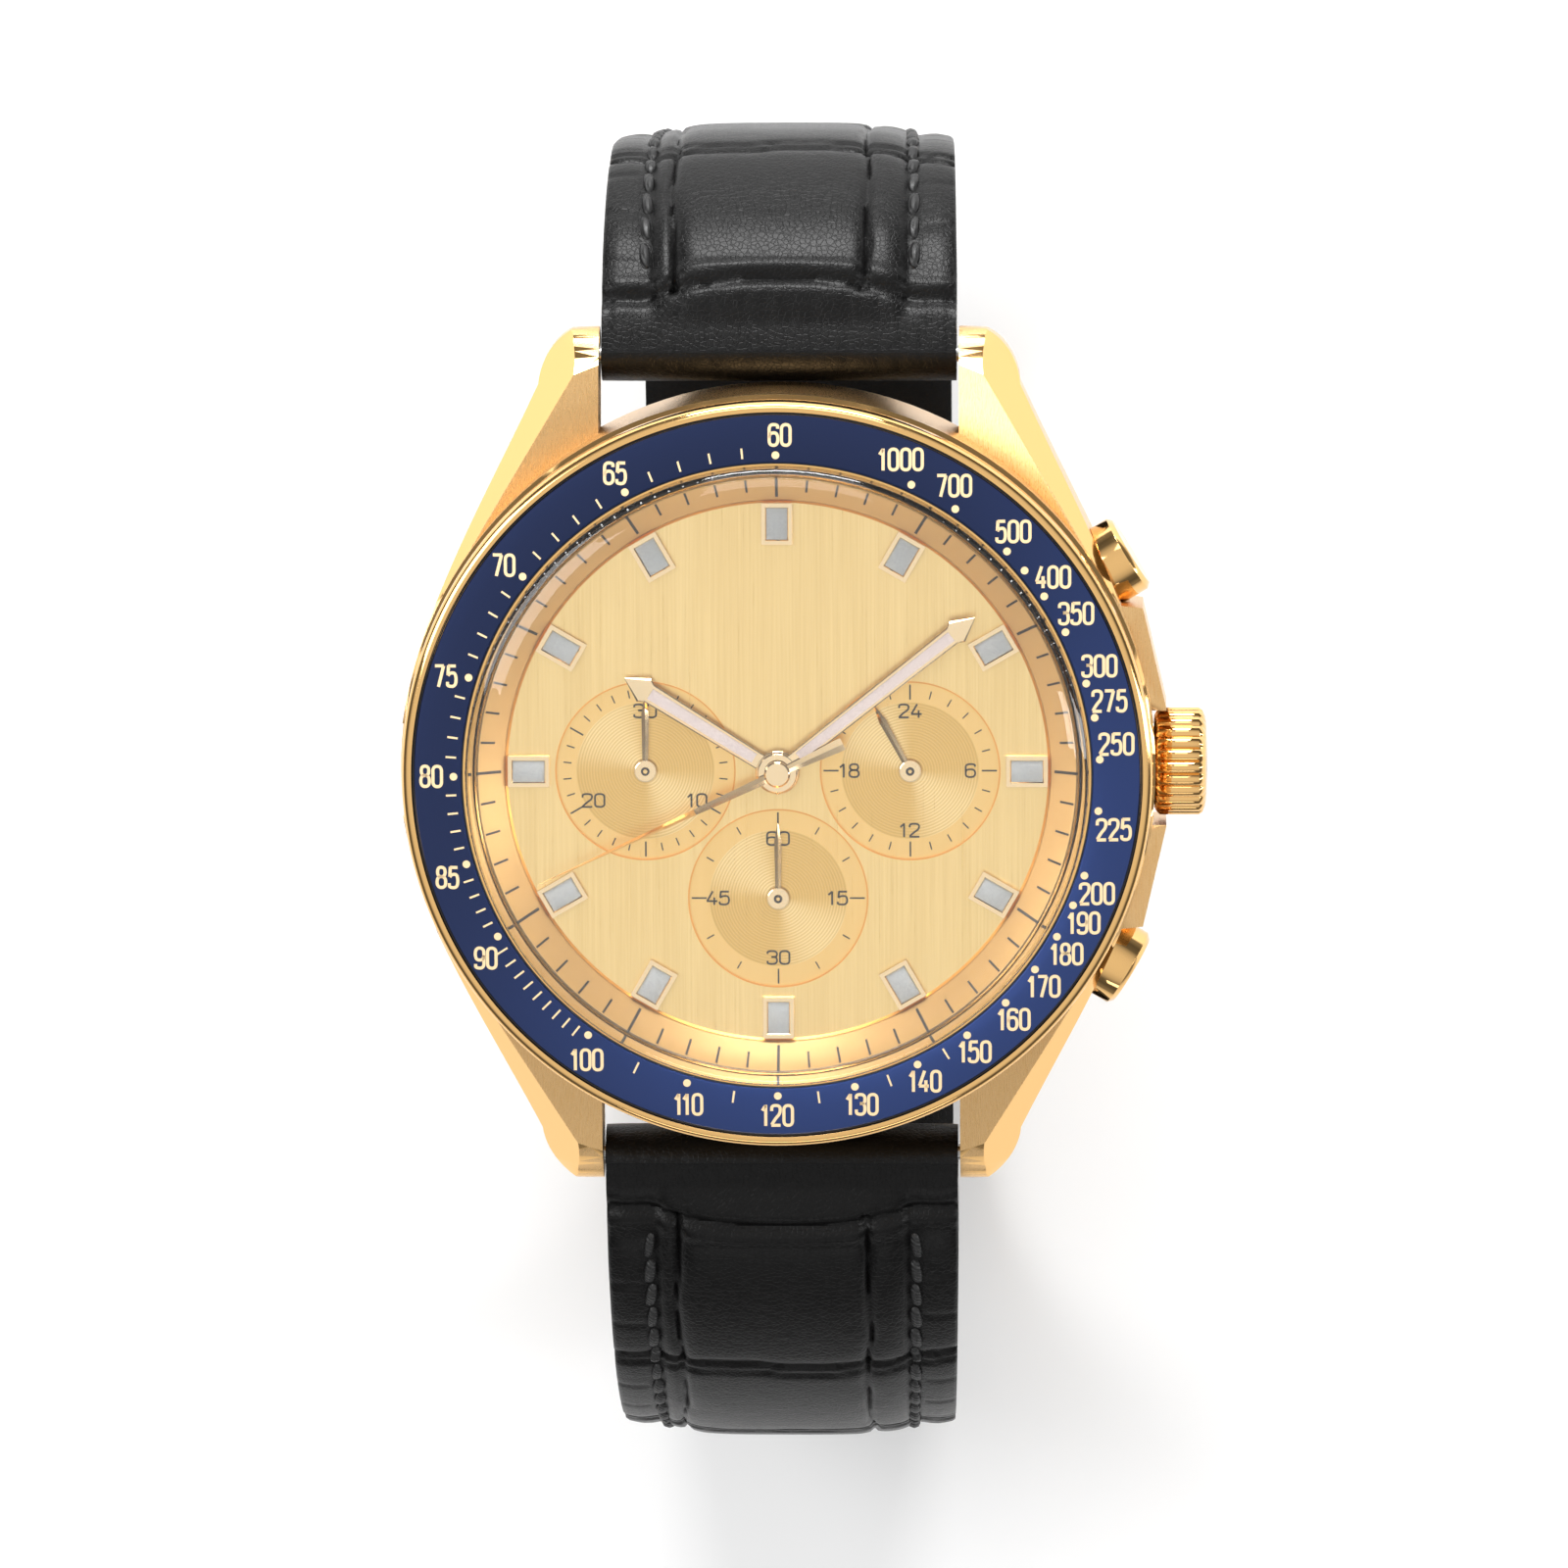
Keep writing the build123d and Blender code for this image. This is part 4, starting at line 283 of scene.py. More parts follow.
scale_gold = Finish("scale print", (0.95, 0.72, 0.42), metal=0.35, rough=0.38)
scale_gold.mottled(3.0, 0.1, 0.34)
dark_print = Finish("dark print", (0.018, 0.013, 0.009), rough=0.42)
dark_print.mottled(3.0, 0.12, 0.36)
orange_line = Finish("sub-dial edge", (0.72, 0.33, 0.07), metal=0.8, rough=0.3)
orange_line.mottled(3.0, 0.1, 0.26)

lume = Finish("pale lume", (0.42, 0.45, 0.46), rough=0.55, Subsurface_Weight=0.1)
x, y, z = lume.place()
grains = lume.noise(lume.joined(x, y, z), 9.0, 4.0, 0.6)
lume.shows("Base Color", lume.mix(grains.step(0.3, 0.7), (0.25, 0.255, 0.25), (0.31, 0.312, 0.305)))
lume.relief(grains, 0.01, 0.5)
hand_lume = Finish("rosy lume", (0.56, 0.49, 0.45), rough=0.55)
x, y, z = hand_lume.place()
grains = hand_lume.noise(hand_lume.joined(x, y, z), 9.0, 4.0, 0.6)
hand_lume.shows("Base Color", hand_lume.mix(grains.step(0.3, 0.7), (0.34, 0.28, 0.265), (0.42, 0.355, 0.335)))
hand_lume.relief(grains, 0.01, 0.5)

# One black finish for the real rubber gaskets and for the painted shade in the bezel's gaps.
gasket_and_gap_shade = Finish("black gasket and gap shade", (0.012, 0.012, 0.013), rough=0.6)
gasket_and_gap_shade.mottled(1.0, 0.1, 0.5)

glass = Finish("crystal", (1.0, 1.0, 1.0), rough=0.0, IOR=1.5, Transmission_Weight=1.0)
glass.mottled(0.2, 0.004, 0.0)
clear = glass.node("ShaderNodeBsdfTransparent")
either = glass.node("ShaderNodeMixShader")
rays = glass.node("ShaderNodeLightPath")
glass.tree.links.new(rays.outputs["Is Shadow Ray"], either.inputs[0])
glass.tree.links.new(glass.surface.outputs[0], either.inputs[1])
glass.tree.links.new(clear.outputs[0], either.inputs[2])
glass.tree.links.new(either.outputs[0], glass.tree.nodes["Material Output"].inputs["Surface"])

steel = Finish("polished steel", (0.56, 0.56, 0.55), metal=1.0, rough=0.22)
x, y, z = steel.place()
marks = steel.noise(steel.joined(x * 0.6, y * 6.0, z * 6.0), 2.0, 4.0, 0.6)
steel.shows("Roughness", marks * 0.16 + 0.14)
plate = Finish("rhodium plate", (0.70, 0.68, 0.63), metal=1.0, rough=0.28)
x, y, z = plate.place()
stripes = ((x * 0.8 + y * 0.6) * (2 * math.pi / 2.4)).wave() * 0.5 + 0.5
plate.shows("Roughness", stripes * 0.14 + 0.2)
plate.relief(stripes, 0.02, 0.4)
wheel_gilt = Finish("gilt wheels", (0.82, 0.58, 0.26), metal=1.0, rough=0.25)
wheel_gilt.mottled(3.0, 0.14, 0.18)
ruby = Finish("ruby", (0.62, 0.01, 0.06), rough=0.05, Coat_Weight=0.5)
ruby.mottled(3.0, 0.05, 0.03)

LEATHER_BLACK = (0.004, 0.0039, 0.0039)
leather = Finish(
    "black grained leather", LEATHER_BLACK, rough=0.36, Coat_Weight=0.05, Coat_Roughness=0.2,
    Specular_IOR_Level=0.16,
)
x, y, z = leather.place()
where = leather.joined(x, y, z)
pebbles = leather.cells(where, 3.4).step(0.0, 0.12)
wrinkles = leather.noise(leather.joined(x * 0.6, y * 1.6, z * 1.6), 1.1, 6.0, 0.62)
fine = leather.noise(where, 9.0, 4.0, 0.6)
leather.relief(pebbles * 0.35 + wrinkles * 0.9 + fine * 0.25, 0.09, 0.4)
leather.shows("Roughness", fine * 0.12 + wrinkles * 0.1 + 0.22)
# Painted shade: the low parts of the wrinkles are coloured darker.
painted_crease_shade = tuple(c * 0.6 for c in LEATHER_BLACK)
leather.shows("Base Color", leather.mix(wrinkles.step(0.3, 0.7), painted_crease_shade, LEATHER_BLACK))

thread = Finish("waxed thread", (0.007, 0.007, 0.0072), rough=0.5)
x, y, z = thread.place()
twist = ((x * 0.9 + y * 1.2 + z * 1.2) * 16.0).wave() * 0.5 + 0.5
thread.relief(twist, 0.05, 0.6)
thread.shows("Roughness", twist * 0.15 + 0.4)
print("finishes", len(bpy.data.materials))

# %% [markdown]
# ## Making and placing a piece
# Every piece is a mesh drawn in place. `piece` turns it into an object, ties it to the body it moves with
# and hides the parts of the frame that it stands for.

# %%
def piece(name, mesh_work, finish, body, stands_for=(), crease=35.0):
    name = name.replace(" ", "_")
    bmesh.ops.recalc_face_normals(mesh_work, faces=mesh_work.faces)
    mesh = bpy.data.meshes.new(name)
    mesh_work.to_mesh(mesh)
    mesh_work.free()
    mesh.materials.append(finish.material)
    mesh.polygons.foreach_set("use_smooth", [True] * len(mesh.polygons))
    mesh.set_sharp_from_angle(angle=math.radians(crease))
    made = bpy.data.objects.new(name, mesh)
    bpy.context.scene.collection.objects.link(made)
    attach(made, body)
    if stands_for:
        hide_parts(*stands_for)
    return made


def revolved(work, profile, steps=160, matrix=Matrix.Identity(4), closed=True):
    """Turned shape from radius and height pairs, added to the mesh work."""
    ring = [work.verts.new((r * MM, 0, h * MM)) for r, h in profile]
    pairs = list(zip(ring, ring[1:] + ring[:1])) if closed else list(zip(ring, ring[1:]))
    lines = [work.edges.new(pair) for pair in pairs]
    made = bmesh.ops.spin(
        work, geom=ring + lines, cent=(0, 0, 0), axis=(0, 0, 1), angle=2 * math.pi, steps=steps,
        use_merge=True, use_duplicate=False,
    )
    fresh = set(ring)
    for item in made["geom_last"]:
        if isinstance(item, bmesh.types.BMVert):
            fresh.add(item)
    grown = set(fresh)
    edge = list(fresh)
    while edge:
        for line in edge.pop().link_edges:
            for corner in line.verts:
                if corner not in grown:
                    grown.add(corner)
                    edge.append(corner)
    grown = [v for v in grown if v.is_valid]
    bmesh.ops.remove_doubles(work, verts=grown, dist=1e-7)
    grown = [v for v in grown if v.is_valid]
    bmesh.ops.transform(work, matrix=matrix, verts=grown)


def wall(inner, outer, low, high):
    """Section of a plain ring, for `revolved`."""
    return [(inner, low), (outer, low), (outer, high), (inner, high)]


def flat_plate(work, corners, low, high, rounding=0.0, segments=2):
    """Straight-sided plate from its corners, with its upper edges rounded."""
    base = [work.verts.new((x * MM, y * MM, low * MM)) for x, y in corners]
    face = work.faces.new(base)
    made = bmesh.ops.extrude_face_region(work, geom=[face])
    top = [v for v in made["geom"] if isinstance(v, bmesh.types.BMVert)]
    bmesh.ops.translate(work, vec=(0, 0, (high - low) * MM), verts=top)
    if rounding > 0:
        lines = [
            e for e in {e for v in top for e in v.link_edges}
            if all(abs(v.co.z - high * MM) < 1e-9 for v in e.verts)
        ]
        bmesh.ops.bevel(
            work, geom=lines, offset=rounding * MM, affect="EDGES", segments=segments, profile=0.5,
            material=-1, clamp_overlap=True,
        )


def aimed(points, angle, place=(0.0, 0.0)):
    """Points along and beside a direction, turned to an angle in degrees clockwise from 12 o'clock."""
    turn = math.radians(90.0 - angle)
    c, s = math.cos(turn), math.sin(turn)
    return [(place[0] + a * c - b * s, place[1] + a * s + b * c) for a, b in points]


def mirrored(points):
    return [*points, *[(a, -b) for a, b in reversed(points)]]


def softened(node, finish, body, width, limit=28.0):
    """A copy of a part with its sharp edges rounded by a bevel."""
    work = bmesh.new()
    work.from_mesh(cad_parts[node].data)
    bmesh.ops.remove_doubles(work, verts=work.verts, dist=2e-6)
    made = piece(node.replace("_", " ") + " finished", work, finish, body, (node,), 30.0)
    round_edges = made.modifiers.new("rounded edges", "BEVEL")
    round_edges.width = width * MM
    round_edges.segments = 2
    round_edges.limit_method = "ANGLE"
    round_edges.angle_limit = math.radians(limit)
    made.modifiers.new("even shading", "WEIGHTED_NORMAL").keep_sharp = True
    return made


# %% [markdown]
# ## The case
# The case body keeps its real shape with softly rounded edges. Its lugs get a second finish: their long
# outer bevels are polished, and all that faces up or sideways between them is brushed.

# %%
case = softened("case_middle", brushed, "root", 0.09)
case.data.materials.append(polished.material)
for face in case.data.polygons:
    bevelled = 0.2 < abs(face.normal.z) < 0.80
    beyond_dial = math.hypot(face.center.x, face.center.y) > 17.0 * MM
    faces_out = face.center.x * face.normal.x > 0
    if bevelled and beyond_dial and faces_out:
        face.material_index = 1
softened("case_back", brushed, "root", 0.08)

# %% [markdown]
# ## Bezel, insert and crystal
# The bezel is a polished ring that holds the blue insert between two thin gaps, filled with black walls
# as painted shade. The crystal is a box glass: a straight wall at the edge and a slight dome on top.

# %%
work = bmesh.new()
revolved(work, [
    (18.34, BACK + 8.6), (20.45, BACK + 8.6), (20.72, BACK + 8.85), (20.75, BACK + 9.2), (20.75, BACK + 10.3),
    (20.70, BACK + 10.52), (20.56, BACK + 10.68), (20.38, BACK + 10.74), (20.20, BACK + 10.75),
    (20.16, BACK + 10.70), (20.15, BACK + 10.1), (18.34, BACK + 10.1),
], 256)
piece("bezel ring finished", work, polished, "root", ("bezel_ring",), 40.0)
work = bmesh.new()
revolved(work, [
    (17.42, BACK + 10.12), (20.02, BACK + 10.12), (20.05, BACK + 10.66), (20.0, BACK + 10.72),
    (17.50, BACK + 10.97), (17.43, BACK + 10.93),
], 256)
piece("bezel insert finished", work, blue, "root", ("bezel_insert",), 40.0)
INSERT_SLOPE = (10.97 - 10.72) / (20.0 - 17.5)
work = bmesh.new()
# Painted shade: thin black walls stand in the two gaps beside the insert.
for inner, outer, high in ((20.06, 20.14, 10.55), (17.35, 17.42, 10.8)):
    revolved(work, wall(inner, outer, BACK + 10.12, BACK + high), 256)
piece("bezel gap shade", work, gasket_and_gap_shade, "root", ())
work = bmesh.new()
revolved(work, wall(17.22, 17.34, BACK + 9.7, BACK + 10.75), 256)
piece("crystal seat", work, polished, "root", ())


def insert_top(radius):
    return BACK + 10.72 + (20.0 - radius) * INSERT_SLOPE


glass_low, dome_high = (corner[2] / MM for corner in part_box("crystal"))
shoulder = BACK + 11.3
outer_dome, inner_dome = [], []
for step in range(25):
    share = 1 - step / 24
    outer_dome.append((16.7 * share, shoulder + 0.35 + (dome_high - shoulder - 0.35) * (1 - share * share)))
    inner_dome.append((16.3 * step / 24, dome_high - 1.1 - 1.15 * (step / 24) ** 2))
profile = [(17.2, glass_low), (17.2, shoulder), (17.12, shoulder + 0.16), (16.95, shoulder + 0.28)]
profile += outer_dome[:-1] + [(0.0, dome_high)] + inner_dome
profile += [(16.55, dome_high - 2.4), (16.66, dome_high - 2.6), (16.7, glass_low)]
work = bmesh.new()
revolved(work, profile, 256)
piece("domed crystal", work, glass, "root", ("crystal",), 60.0)

# %% [markdown]
# ## Letters and figures of our own
# Each figure is a few strokes in a box one unit wide and high. Cutting the corners again and again turns
# them into smooth curves, and a ribbon of even width follows them.

# %%
FIGURES = {
    "0": [("closed", [(0, 0), (1, 0), (1, 0.5), (1, 1), (0, 1), (0, 0.5)])],
    "1": [("open", [(0.22, 0.74), (0.62, 1.0)]), ("open", [(0.62, 1.03), (0.62, -0.03)])],
    "2": [("open", [(0, 0.72), (0, 1), (1, 1), (1, 0.6), (0.45, 0.35), (0.0, 0.03)]),
          ("open", [(-0.05, 0), (1.02, 0)])],
    "3": [("open", [(0, 0.78), (0, 1), (1, 1), (1, 0.54), (0.4, 0.54)]),
          ("open", [(0.4, 0.54), (1, 0.54), (1, 0), (0, 0), (0, 0.24)])],
    "4": [("open", [(0.6, 1.03), (0.0, 0.28)]), ("open", [(-0.06, 0.26), (1.08, 0.26)]),
          ("open", [(0.75, 0.55), (0.75, -0.03)])],
    "5": [("open", [(0.98, 1), (0.1, 1)]), ("open", [(0.14, 1.03), (0.06, 0.54)]),
          ("open", [(0.06, 0.52), (0.3, 0.66), (1, 0.66), (1, 0), (0, 0), (0, 0.22)])],
    "6": [("open", [(0.98, 0.8), (0.98, 1), (0, 1), (0, 0.5), (0, 0), (1, 0), (1, 0.6), (0.1, 0.6),
                    (0.0, 0.36)])],
    "7": [("open", [(-0.03, 1), (1.02, 1)]), ("open", [(0.98, 1.0), (0.36, -0.03)])],
    "8": [("closed", [(0.06, 0.54), (0.94, 0.54), (0.94, 1), (0.06, 1)]),
          ("closed", [(0, 0), (1, 0), (1, 0.54), (0, 0.54)])],
    "9": [("open", [(0.02, 0.2), (0.02, 0), (1, 0), (1, 0.5), (1, 1), (0, 1), (0, 0.4), (0.9, 0.4),
                    (1.0, 0.64)])],
}


def smoothed(kind, points, rounds=3):
    for _ in range(rounds):
        fresh = [] if kind == "closed" else [points[0]]
        count = len(points) if kind == "closed" else len(points) - 1
        for i in range(count):
            a, b = points[i], points[(i + 1) % len(points)]
            if kind == "open" and len(points) == 2:
                return points
            near = (a[0] * 0.75 + b[0] * 0.25, a[1] * 0.75 + b[1] * 0.25)
            far = (a[0] * 0.25 + b[0] * 0.75, a[1] * 0.25 + b[1] * 0.75)
            fresh += [near, far]
        points = fresh if kind == "closed" else [*fresh, points[-1]]
    return points


def ribbon(work, points, closed, wide, put, high, thick=0.02):
    """Raised ribbon along points; put turns a point into x, y in millimetres and high is its height there."""
    sides = []
    count = len(points)
    for i, point in enumerate(points):
        before = points[(i - 1) % count] if closed or i > 0 else point
        after = points[(i + 1) % count] if closed or i < count - 1 else point
        dx, dy = after[0] - before[0], after[1] - before[1]
        length = math.hypot(dx, dy) or 1.0
        nx, ny = -dy / length * wide / 2, dx / length * wide / 2
        sides.append(((point[0] + nx, point[1] + ny), (point[0] - nx, point[1] - ny)))
    rows = []
    for pair in sides:
        row = []
        for corner in pair:
            px, py = put(*corner)
            base = high(px, py)
            row.append(work.verts.new((px * MM, py * MM, (base + thick) * MM)))
        rows.append(row)
    links = list(zip(rows, rows[1:])) + ([(rows[-1], rows[0])] if closed else [])
    for (a, b), (c, d) in links:
        work.faces.new((a, b, d, c))


def write(work, text, centre, tall, narrow, weight, high, gap=0.42, turn=0.0):
    """Text centred on a point; narrow is a figure's width over its height."""
    wide = tall * narrow
    pitch = [wide * (0.55 if letter == "1" else 1.0) + tall * gap * narrow for letter in text]
    total = sum(pitch) - tall * gap * narrow
    start = -total / 2
    c, s = math.cos(math.radians(turn)), math.sin(math.radians(turn))
    for letter, step in zip(text, pitch):
        offset = start - (wide * 0.35 if letter == "1" else 0.0)
        for kind, points in FIGURES[letter]:
            line = [(offset + u * wide, (v - 0.5) * tall) for u, v in smoothed(kind, points)]
            ribbon(work, line, kind == "closed", weight,
                   lambda u, v: (centre[0] + u * c - v * s, centre[1] + u * s + v * c), high)
        start += step


def mark(work, middle, angle, inner, outer, wide, high, thick=0.02):
    """Straight tick on a radius of a dial."""
    line = [(inner, 0.0), (outer, 0.0)]
    ribbon(work, line, False, wide, lambda a, b: aimed([(a, b)], angle, middle)[0], high, thick)


def dot(work, place, radius, high, thick=0.03, sides=20):
    rim = []
    for i in range(sides):
        turn = 2 * math.pi * i / sides
        px, py = place[0] + radius * math.cos(turn), place[1] + radius * math.sin(turn)
        rim.append(work.verts.new((px * MM, py * MM, (high(px, py) + thick) * MM)))
    work.faces.new(rim)


# %% [markdown]
# ## The scale on the bezel
# A watch that measures speed over a known distance reads 3600 divided by the seconds, so a speed's angle is
# 21600 degrees divided by it. Each speed has a dot there, a little late in the crowded first quarter. Its
# figures stand upright beside the dot and farther out: before it in the first quarter and the third, after
# it in the second. Two round speeds fill the first quarter's start.

# %%
DOT_RADIUS = 17.84
SPEEDS = [60, 65, 70, 75, 80, 85, 90, *range(100, 201, 10), 225, 250, 275, 300, 350, 400, 500]


def dot_angle(speed):
    angle = 0.0 if speed == 60 else 21600.0 / speed
    return angle + (100 - angle) * 0.04 if 0 < angle < 100 else angle


def figures_ahead(angle):
    """Degrees by which a speed's figures stand after its dot."""
    if angle < 10:
        return 0.7
    if angle < 90:
        return -1.6 - (angle - 45) * 0.02
    if angle < 180:
        return max(-0.5, 2.9 - (angle - 96) * 0.049)
    if angle <= 270:
        return -2.5 * math.sin(math.radians(2 * (angle - 180)))
    return min(0.0, -(332 - angle) / 45)


on_insert = lambda px, py: insert_top(math.hypot(px, py))
work = bmesh.new()
figure_spots = [(1000, 21.5), (700, 31.3)]
for speed in SPEEDS:
    angle = dot_angle(speed)
    figure_spots.append((speed, angle + figures_ahead(angle)))
for speed in [*SPEEDS, 1000, 700, 450]:
    dot(work, aimed([(DOT_RADIUS, 0.0)], dot_angle(speed))[0], 0.215, on_insert)
for speed, angle in figure_spots:
    out = 18.95 - 0.13 * math.sin(math.radians(angle))
    write(work, str(speed), aimed([(out, 0.0)], angle)[0], 1.13, 0.42, 0.175, on_insert)
for speed in [*range(61, 65), *range(66, 70), *range(71, 75), *range(76, 80), *range(81, 85), *range(86, 90),
              *range(91, 100), 105, 115, 125, 135, 145]:
    mark(work, (0, 0), 21600.0 / speed, 17.72, 18.4 if speed > 90 else 18.3, 0.11, on_insert)
piece("bezel scale", work, scale_gold, "root", ())
print("scale figures", len(figure_spots))

# %% [markdown]
# ## Dial, chapter ring and their marks
# The dial has three sunken sub-dials. A sloping chapter ring stands round it with a tick for each second.

# %%
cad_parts["dial"].data.materials.clear()
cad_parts["dial"].data.materials.append(dial_finish.material)
work = bmesh.new()
revolved(work, [
    (15.03, DIAL_HIGH + 0.01), (15.06, DIAL_HIGH + 0.16), (15.14, DIAL_HIGH + 0.24), (16.98, BACK + 9.62),
    (16.98, DIAL_HIGH + 0.01),
], 256)
piece("chapter ring finished", work, chapter_finish, "root", ("chapter_ring",), 50.0)
work = bmesh.new()
revolved(work, [(14.90, DIAL_HIGH), (15.03, DIAL_HIGH), (15.03, DIAL_HIGH + 0.1), (14.98, DIAL_HIGH + 0.06)], 256)
for middle in (COUNTER, DAY, SECONDS):
    shift = Matrix.Translation((middle[0] * MM, middle[1] * MM, 0))
    revolved(work, wall(4.90, 4.98, DIAL_HIGH - 0.1, DIAL_HIGH + 0.02), 120, shift)
piece("fine orange edges", work, orange_line, "root", ())

CHAPTER_LOW, CHAPTER_HIGH = DIAL_HIGH + 0.24, BACK + 9.62
CHAPTER_SLOPE = (CHAPTER_HIGH - CHAPTER_LOW) / (16.98 - 15.14)
on_chapter = lambda px, py: CHAPTER_LOW + (math.hypot(px, py) - 15.14) * CHAPTER_SLOPE
on_sub = lambda px, py: DIAL_HIGH - SUB_SINK
work = bmesh.new()
for second in range(60):
    inner, outer, wide = (15.25, 16.85, 0.16) if second % 5 == 0 else (15.65, 16.6, 0.125)
    mark(work, (0, 0), second * 6.0, inner, outer, wide, on_chapter)
SUB_MARKS = (
    (COUNTER, 30, 5, {"30": 0, "10": 120, "20": 240}),
    (DAY, 24, 6, {"24": 0, "6": 90, "12": 180, "18": 270}),
    (SECONDS, 12, 3, {"60": 0, "15": 90, "30": 180, "45": 270}),
)
for middle, count, every, figures in SUB_MARKS:
    for step in range(count):
        inner, outer, wide = (3.95, 4.78, 0.09) if step % every == 0 else (4.1, 4.55, 0.07)
        mark(work, middle, step * 360.0 / count, inner, outer, wide, on_sub)
    for text, angle in figures.items():
        centre = aimed([(3.32, 0.0)], angle, middle)[0]
        write(work, text, centre, 0.72, 0.72, 0.105, on_sub, 0.32)
piece("dial marks", work, dark_print, "root", ())

# %% [markdown]
# ## The applied hour markers
# Twelve gold frames, each a box with a bed of lume in it. The frame's top edge stands out a little past its
# sides.

# %%
MARKER_AT, HALF_LONG, HALF_WIDE, RIM = 13.74, 1.075, 0.785, 0.2
top = DIAL_HIGH + 0.35
FRAME_LEVELS = (
    (0.0, DIAL_HIGH), (0.0, top - 0.1), (-0.07, top), (RIM - 0.05, top), (RIM, top - 0.05), (RIM, top - 0.16),
)


def box_round(shrink):
    """Corners of a marker's box, each side moved in by a distance."""
    a, b = HALF_LONG - shrink, HALF_WIDE - shrink
    return [(MARKER_AT - a, -b), (MARKER_AT + a, -b), (MARKER_AT + a, b), (MARKER_AT - a, b)]


frames_work, lume_work = bmesh.new(), bmesh.new()
for hour in range(12):
    angle = hour * 30.0
    levels = []
    for shrink, level in FRAME_LEVELS:
        corners = aimed(box_round(shrink), angle)
        levels.append([frames_work.verts.new((px * MM, py * MM, level * MM)) for px, py in corners])
    for lower, upper in zip(levels, levels[1:]):
        for i in range(4):
            frames_work.faces.new((lower[i], lower[(i + 1) % 4], upper[(i + 1) % 4], upper[i]))
    flat_plate(lume_work, aimed(box_round(RIM), angle), top - 0.25, top - 0.07, 0.03)
piece("applied markers", frames_work, edge_gold, "root", ("hour_markers",), 20.0)
piece("marker lume", lume_work, lume, "root", (), 30.0)

# %% [markdown]
# ## The hands
# The hour and minute hands are batons with a stepped point and a long slot of lume. The chronograph hand
# is a folded needle: two facets meet in a ridge along it.

# %%
def baton(name, node, body, angle, low, length, half, slot_from, hub):
    step = length - 1.55
    top = low + 0.15
    outer = mirrored([(0.3, half * 0.78), (step, half), (step + 0.3, half + 0.2), (length, 0.02)])
    inner = mirrored([(slot_from, half * 0.52), (step - 0.1, half * 0.58)])
    work = bmesh.new()

    def ring(points, level):
        return [work.verts.new((px * MM, py * MM, level * MM)) for px, py in aimed(points, angle)]

    outer_low = ring(outer, low)
    outer_mid = ring(outer, top - 0.05)
    outer_top = ring([(a - 0.04 if a > 1 else a, b * 0.86) for a, b in outer], top)
    count = len(outer)
    for ring_a, ring_b in ((outer_low, outer_mid), (outer_mid, outer_top)):
        for i in range(count):
            work.faces.new((ring_a[i], ring_a[(i + 1) % count], ring_b[(i + 1) % count], ring_b[i]))
    inner_top = ring(inner, top)
    inner_low = ring(inner, low + 0.02)
    for i in range(4):
        work.faces.new((inner_top[i], inner_top[(i + 1) % 4], inner_low[(i + 1) % 4], inner_low[i]))
    # top face round the slot, from the tail to the point and back on both sides
    t, n = outer_top, inner_top
    work.faces.new((t[0], t[7], n[3], n[0]))
    work.faces.new((t[0], n[0], n[1], t[1]))
    work.faces.new((t[7], t[6], n[2], n[3]))
    work.faces.new((t[1], n[1], n[2], t[6]))
    work.faces.new((t[1], t[6], t[5], t[4], t[3], t[2]))
    work.faces.new(list(reversed(outer_low)))
    boss = [(hub, low - 0.01), (hub, top - 0.03), (hub - 0.06, top + 0.03)]
    revolved(work, [(0.0, low - 0.01), *boss, (0.0, top + 0.03)], 64)
    piece(name, work, edge_gold, body, (node,), 22.0)
    work = bmesh.new()
    flat_plate(work, aimed(inner, angle), low + 0.01, top - 0.02)
    piece(name + " lume", work, hand_lume, body, (), 30.0)


baton("hour hand finished", "hour_hand", "hour", 302.0, BACK + 8.85, 9.9, 0.56, 1.5, 1.2)
baton("minute hand finished", "minute_hand", "minute", 51.6, BACK + 9.2, 13.9, 0.52, 1.5, 1.1)


def needle(work, angle, place, low, points, ridge):
    """Faceted hand: half-widths at distances, with a ridge down the middle."""
    left, right, crest, under = [], [], [], []
    for a, b in points:
        for row, side, level in ((left, b, low + 0.02), (right, -b, low + 0.02), (crest, 0.0, low + ridge)):
            px, py = aimed([(a, side)], angle, place)[0]
            row.append(work.verts.new((px * MM, py * MM, level * MM)))
    for i in range(len(points) - 1):
        work.faces.new((left[i], left[i + 1], crest[i + 1], crest[i]))
        work.faces.new((crest[i], crest[i + 1], right[i + 1], right[i]))
        work.faces.new((right[i], right[i + 1], left[i + 1], left[i]))
    work.faces.new((left[0], crest[0], right[0]))
    work.faces.new((left[-1], right[-1], crest[-1]))


work = bmesh.new()
low = BACK + 9.6
half_widths = [(-4.0, 0.34), (-3.7, 0.36), (-0.6, 0.2), (0.9, 0.24), (5.0, 0.17), (14.5, 0.02)]
needle(work, 245.0, (0, 0), low, half_widths, 0.14)
revolved(work, [(0.0, low), (0.72, low), (0.72, low + 0.2), (0.62, low + 0.3), (0.0, low + 0.3)], 64)
piece("chronograph hand finished", work, edge_gold, "chronograph", ("chronograph_hand",), 18.0)

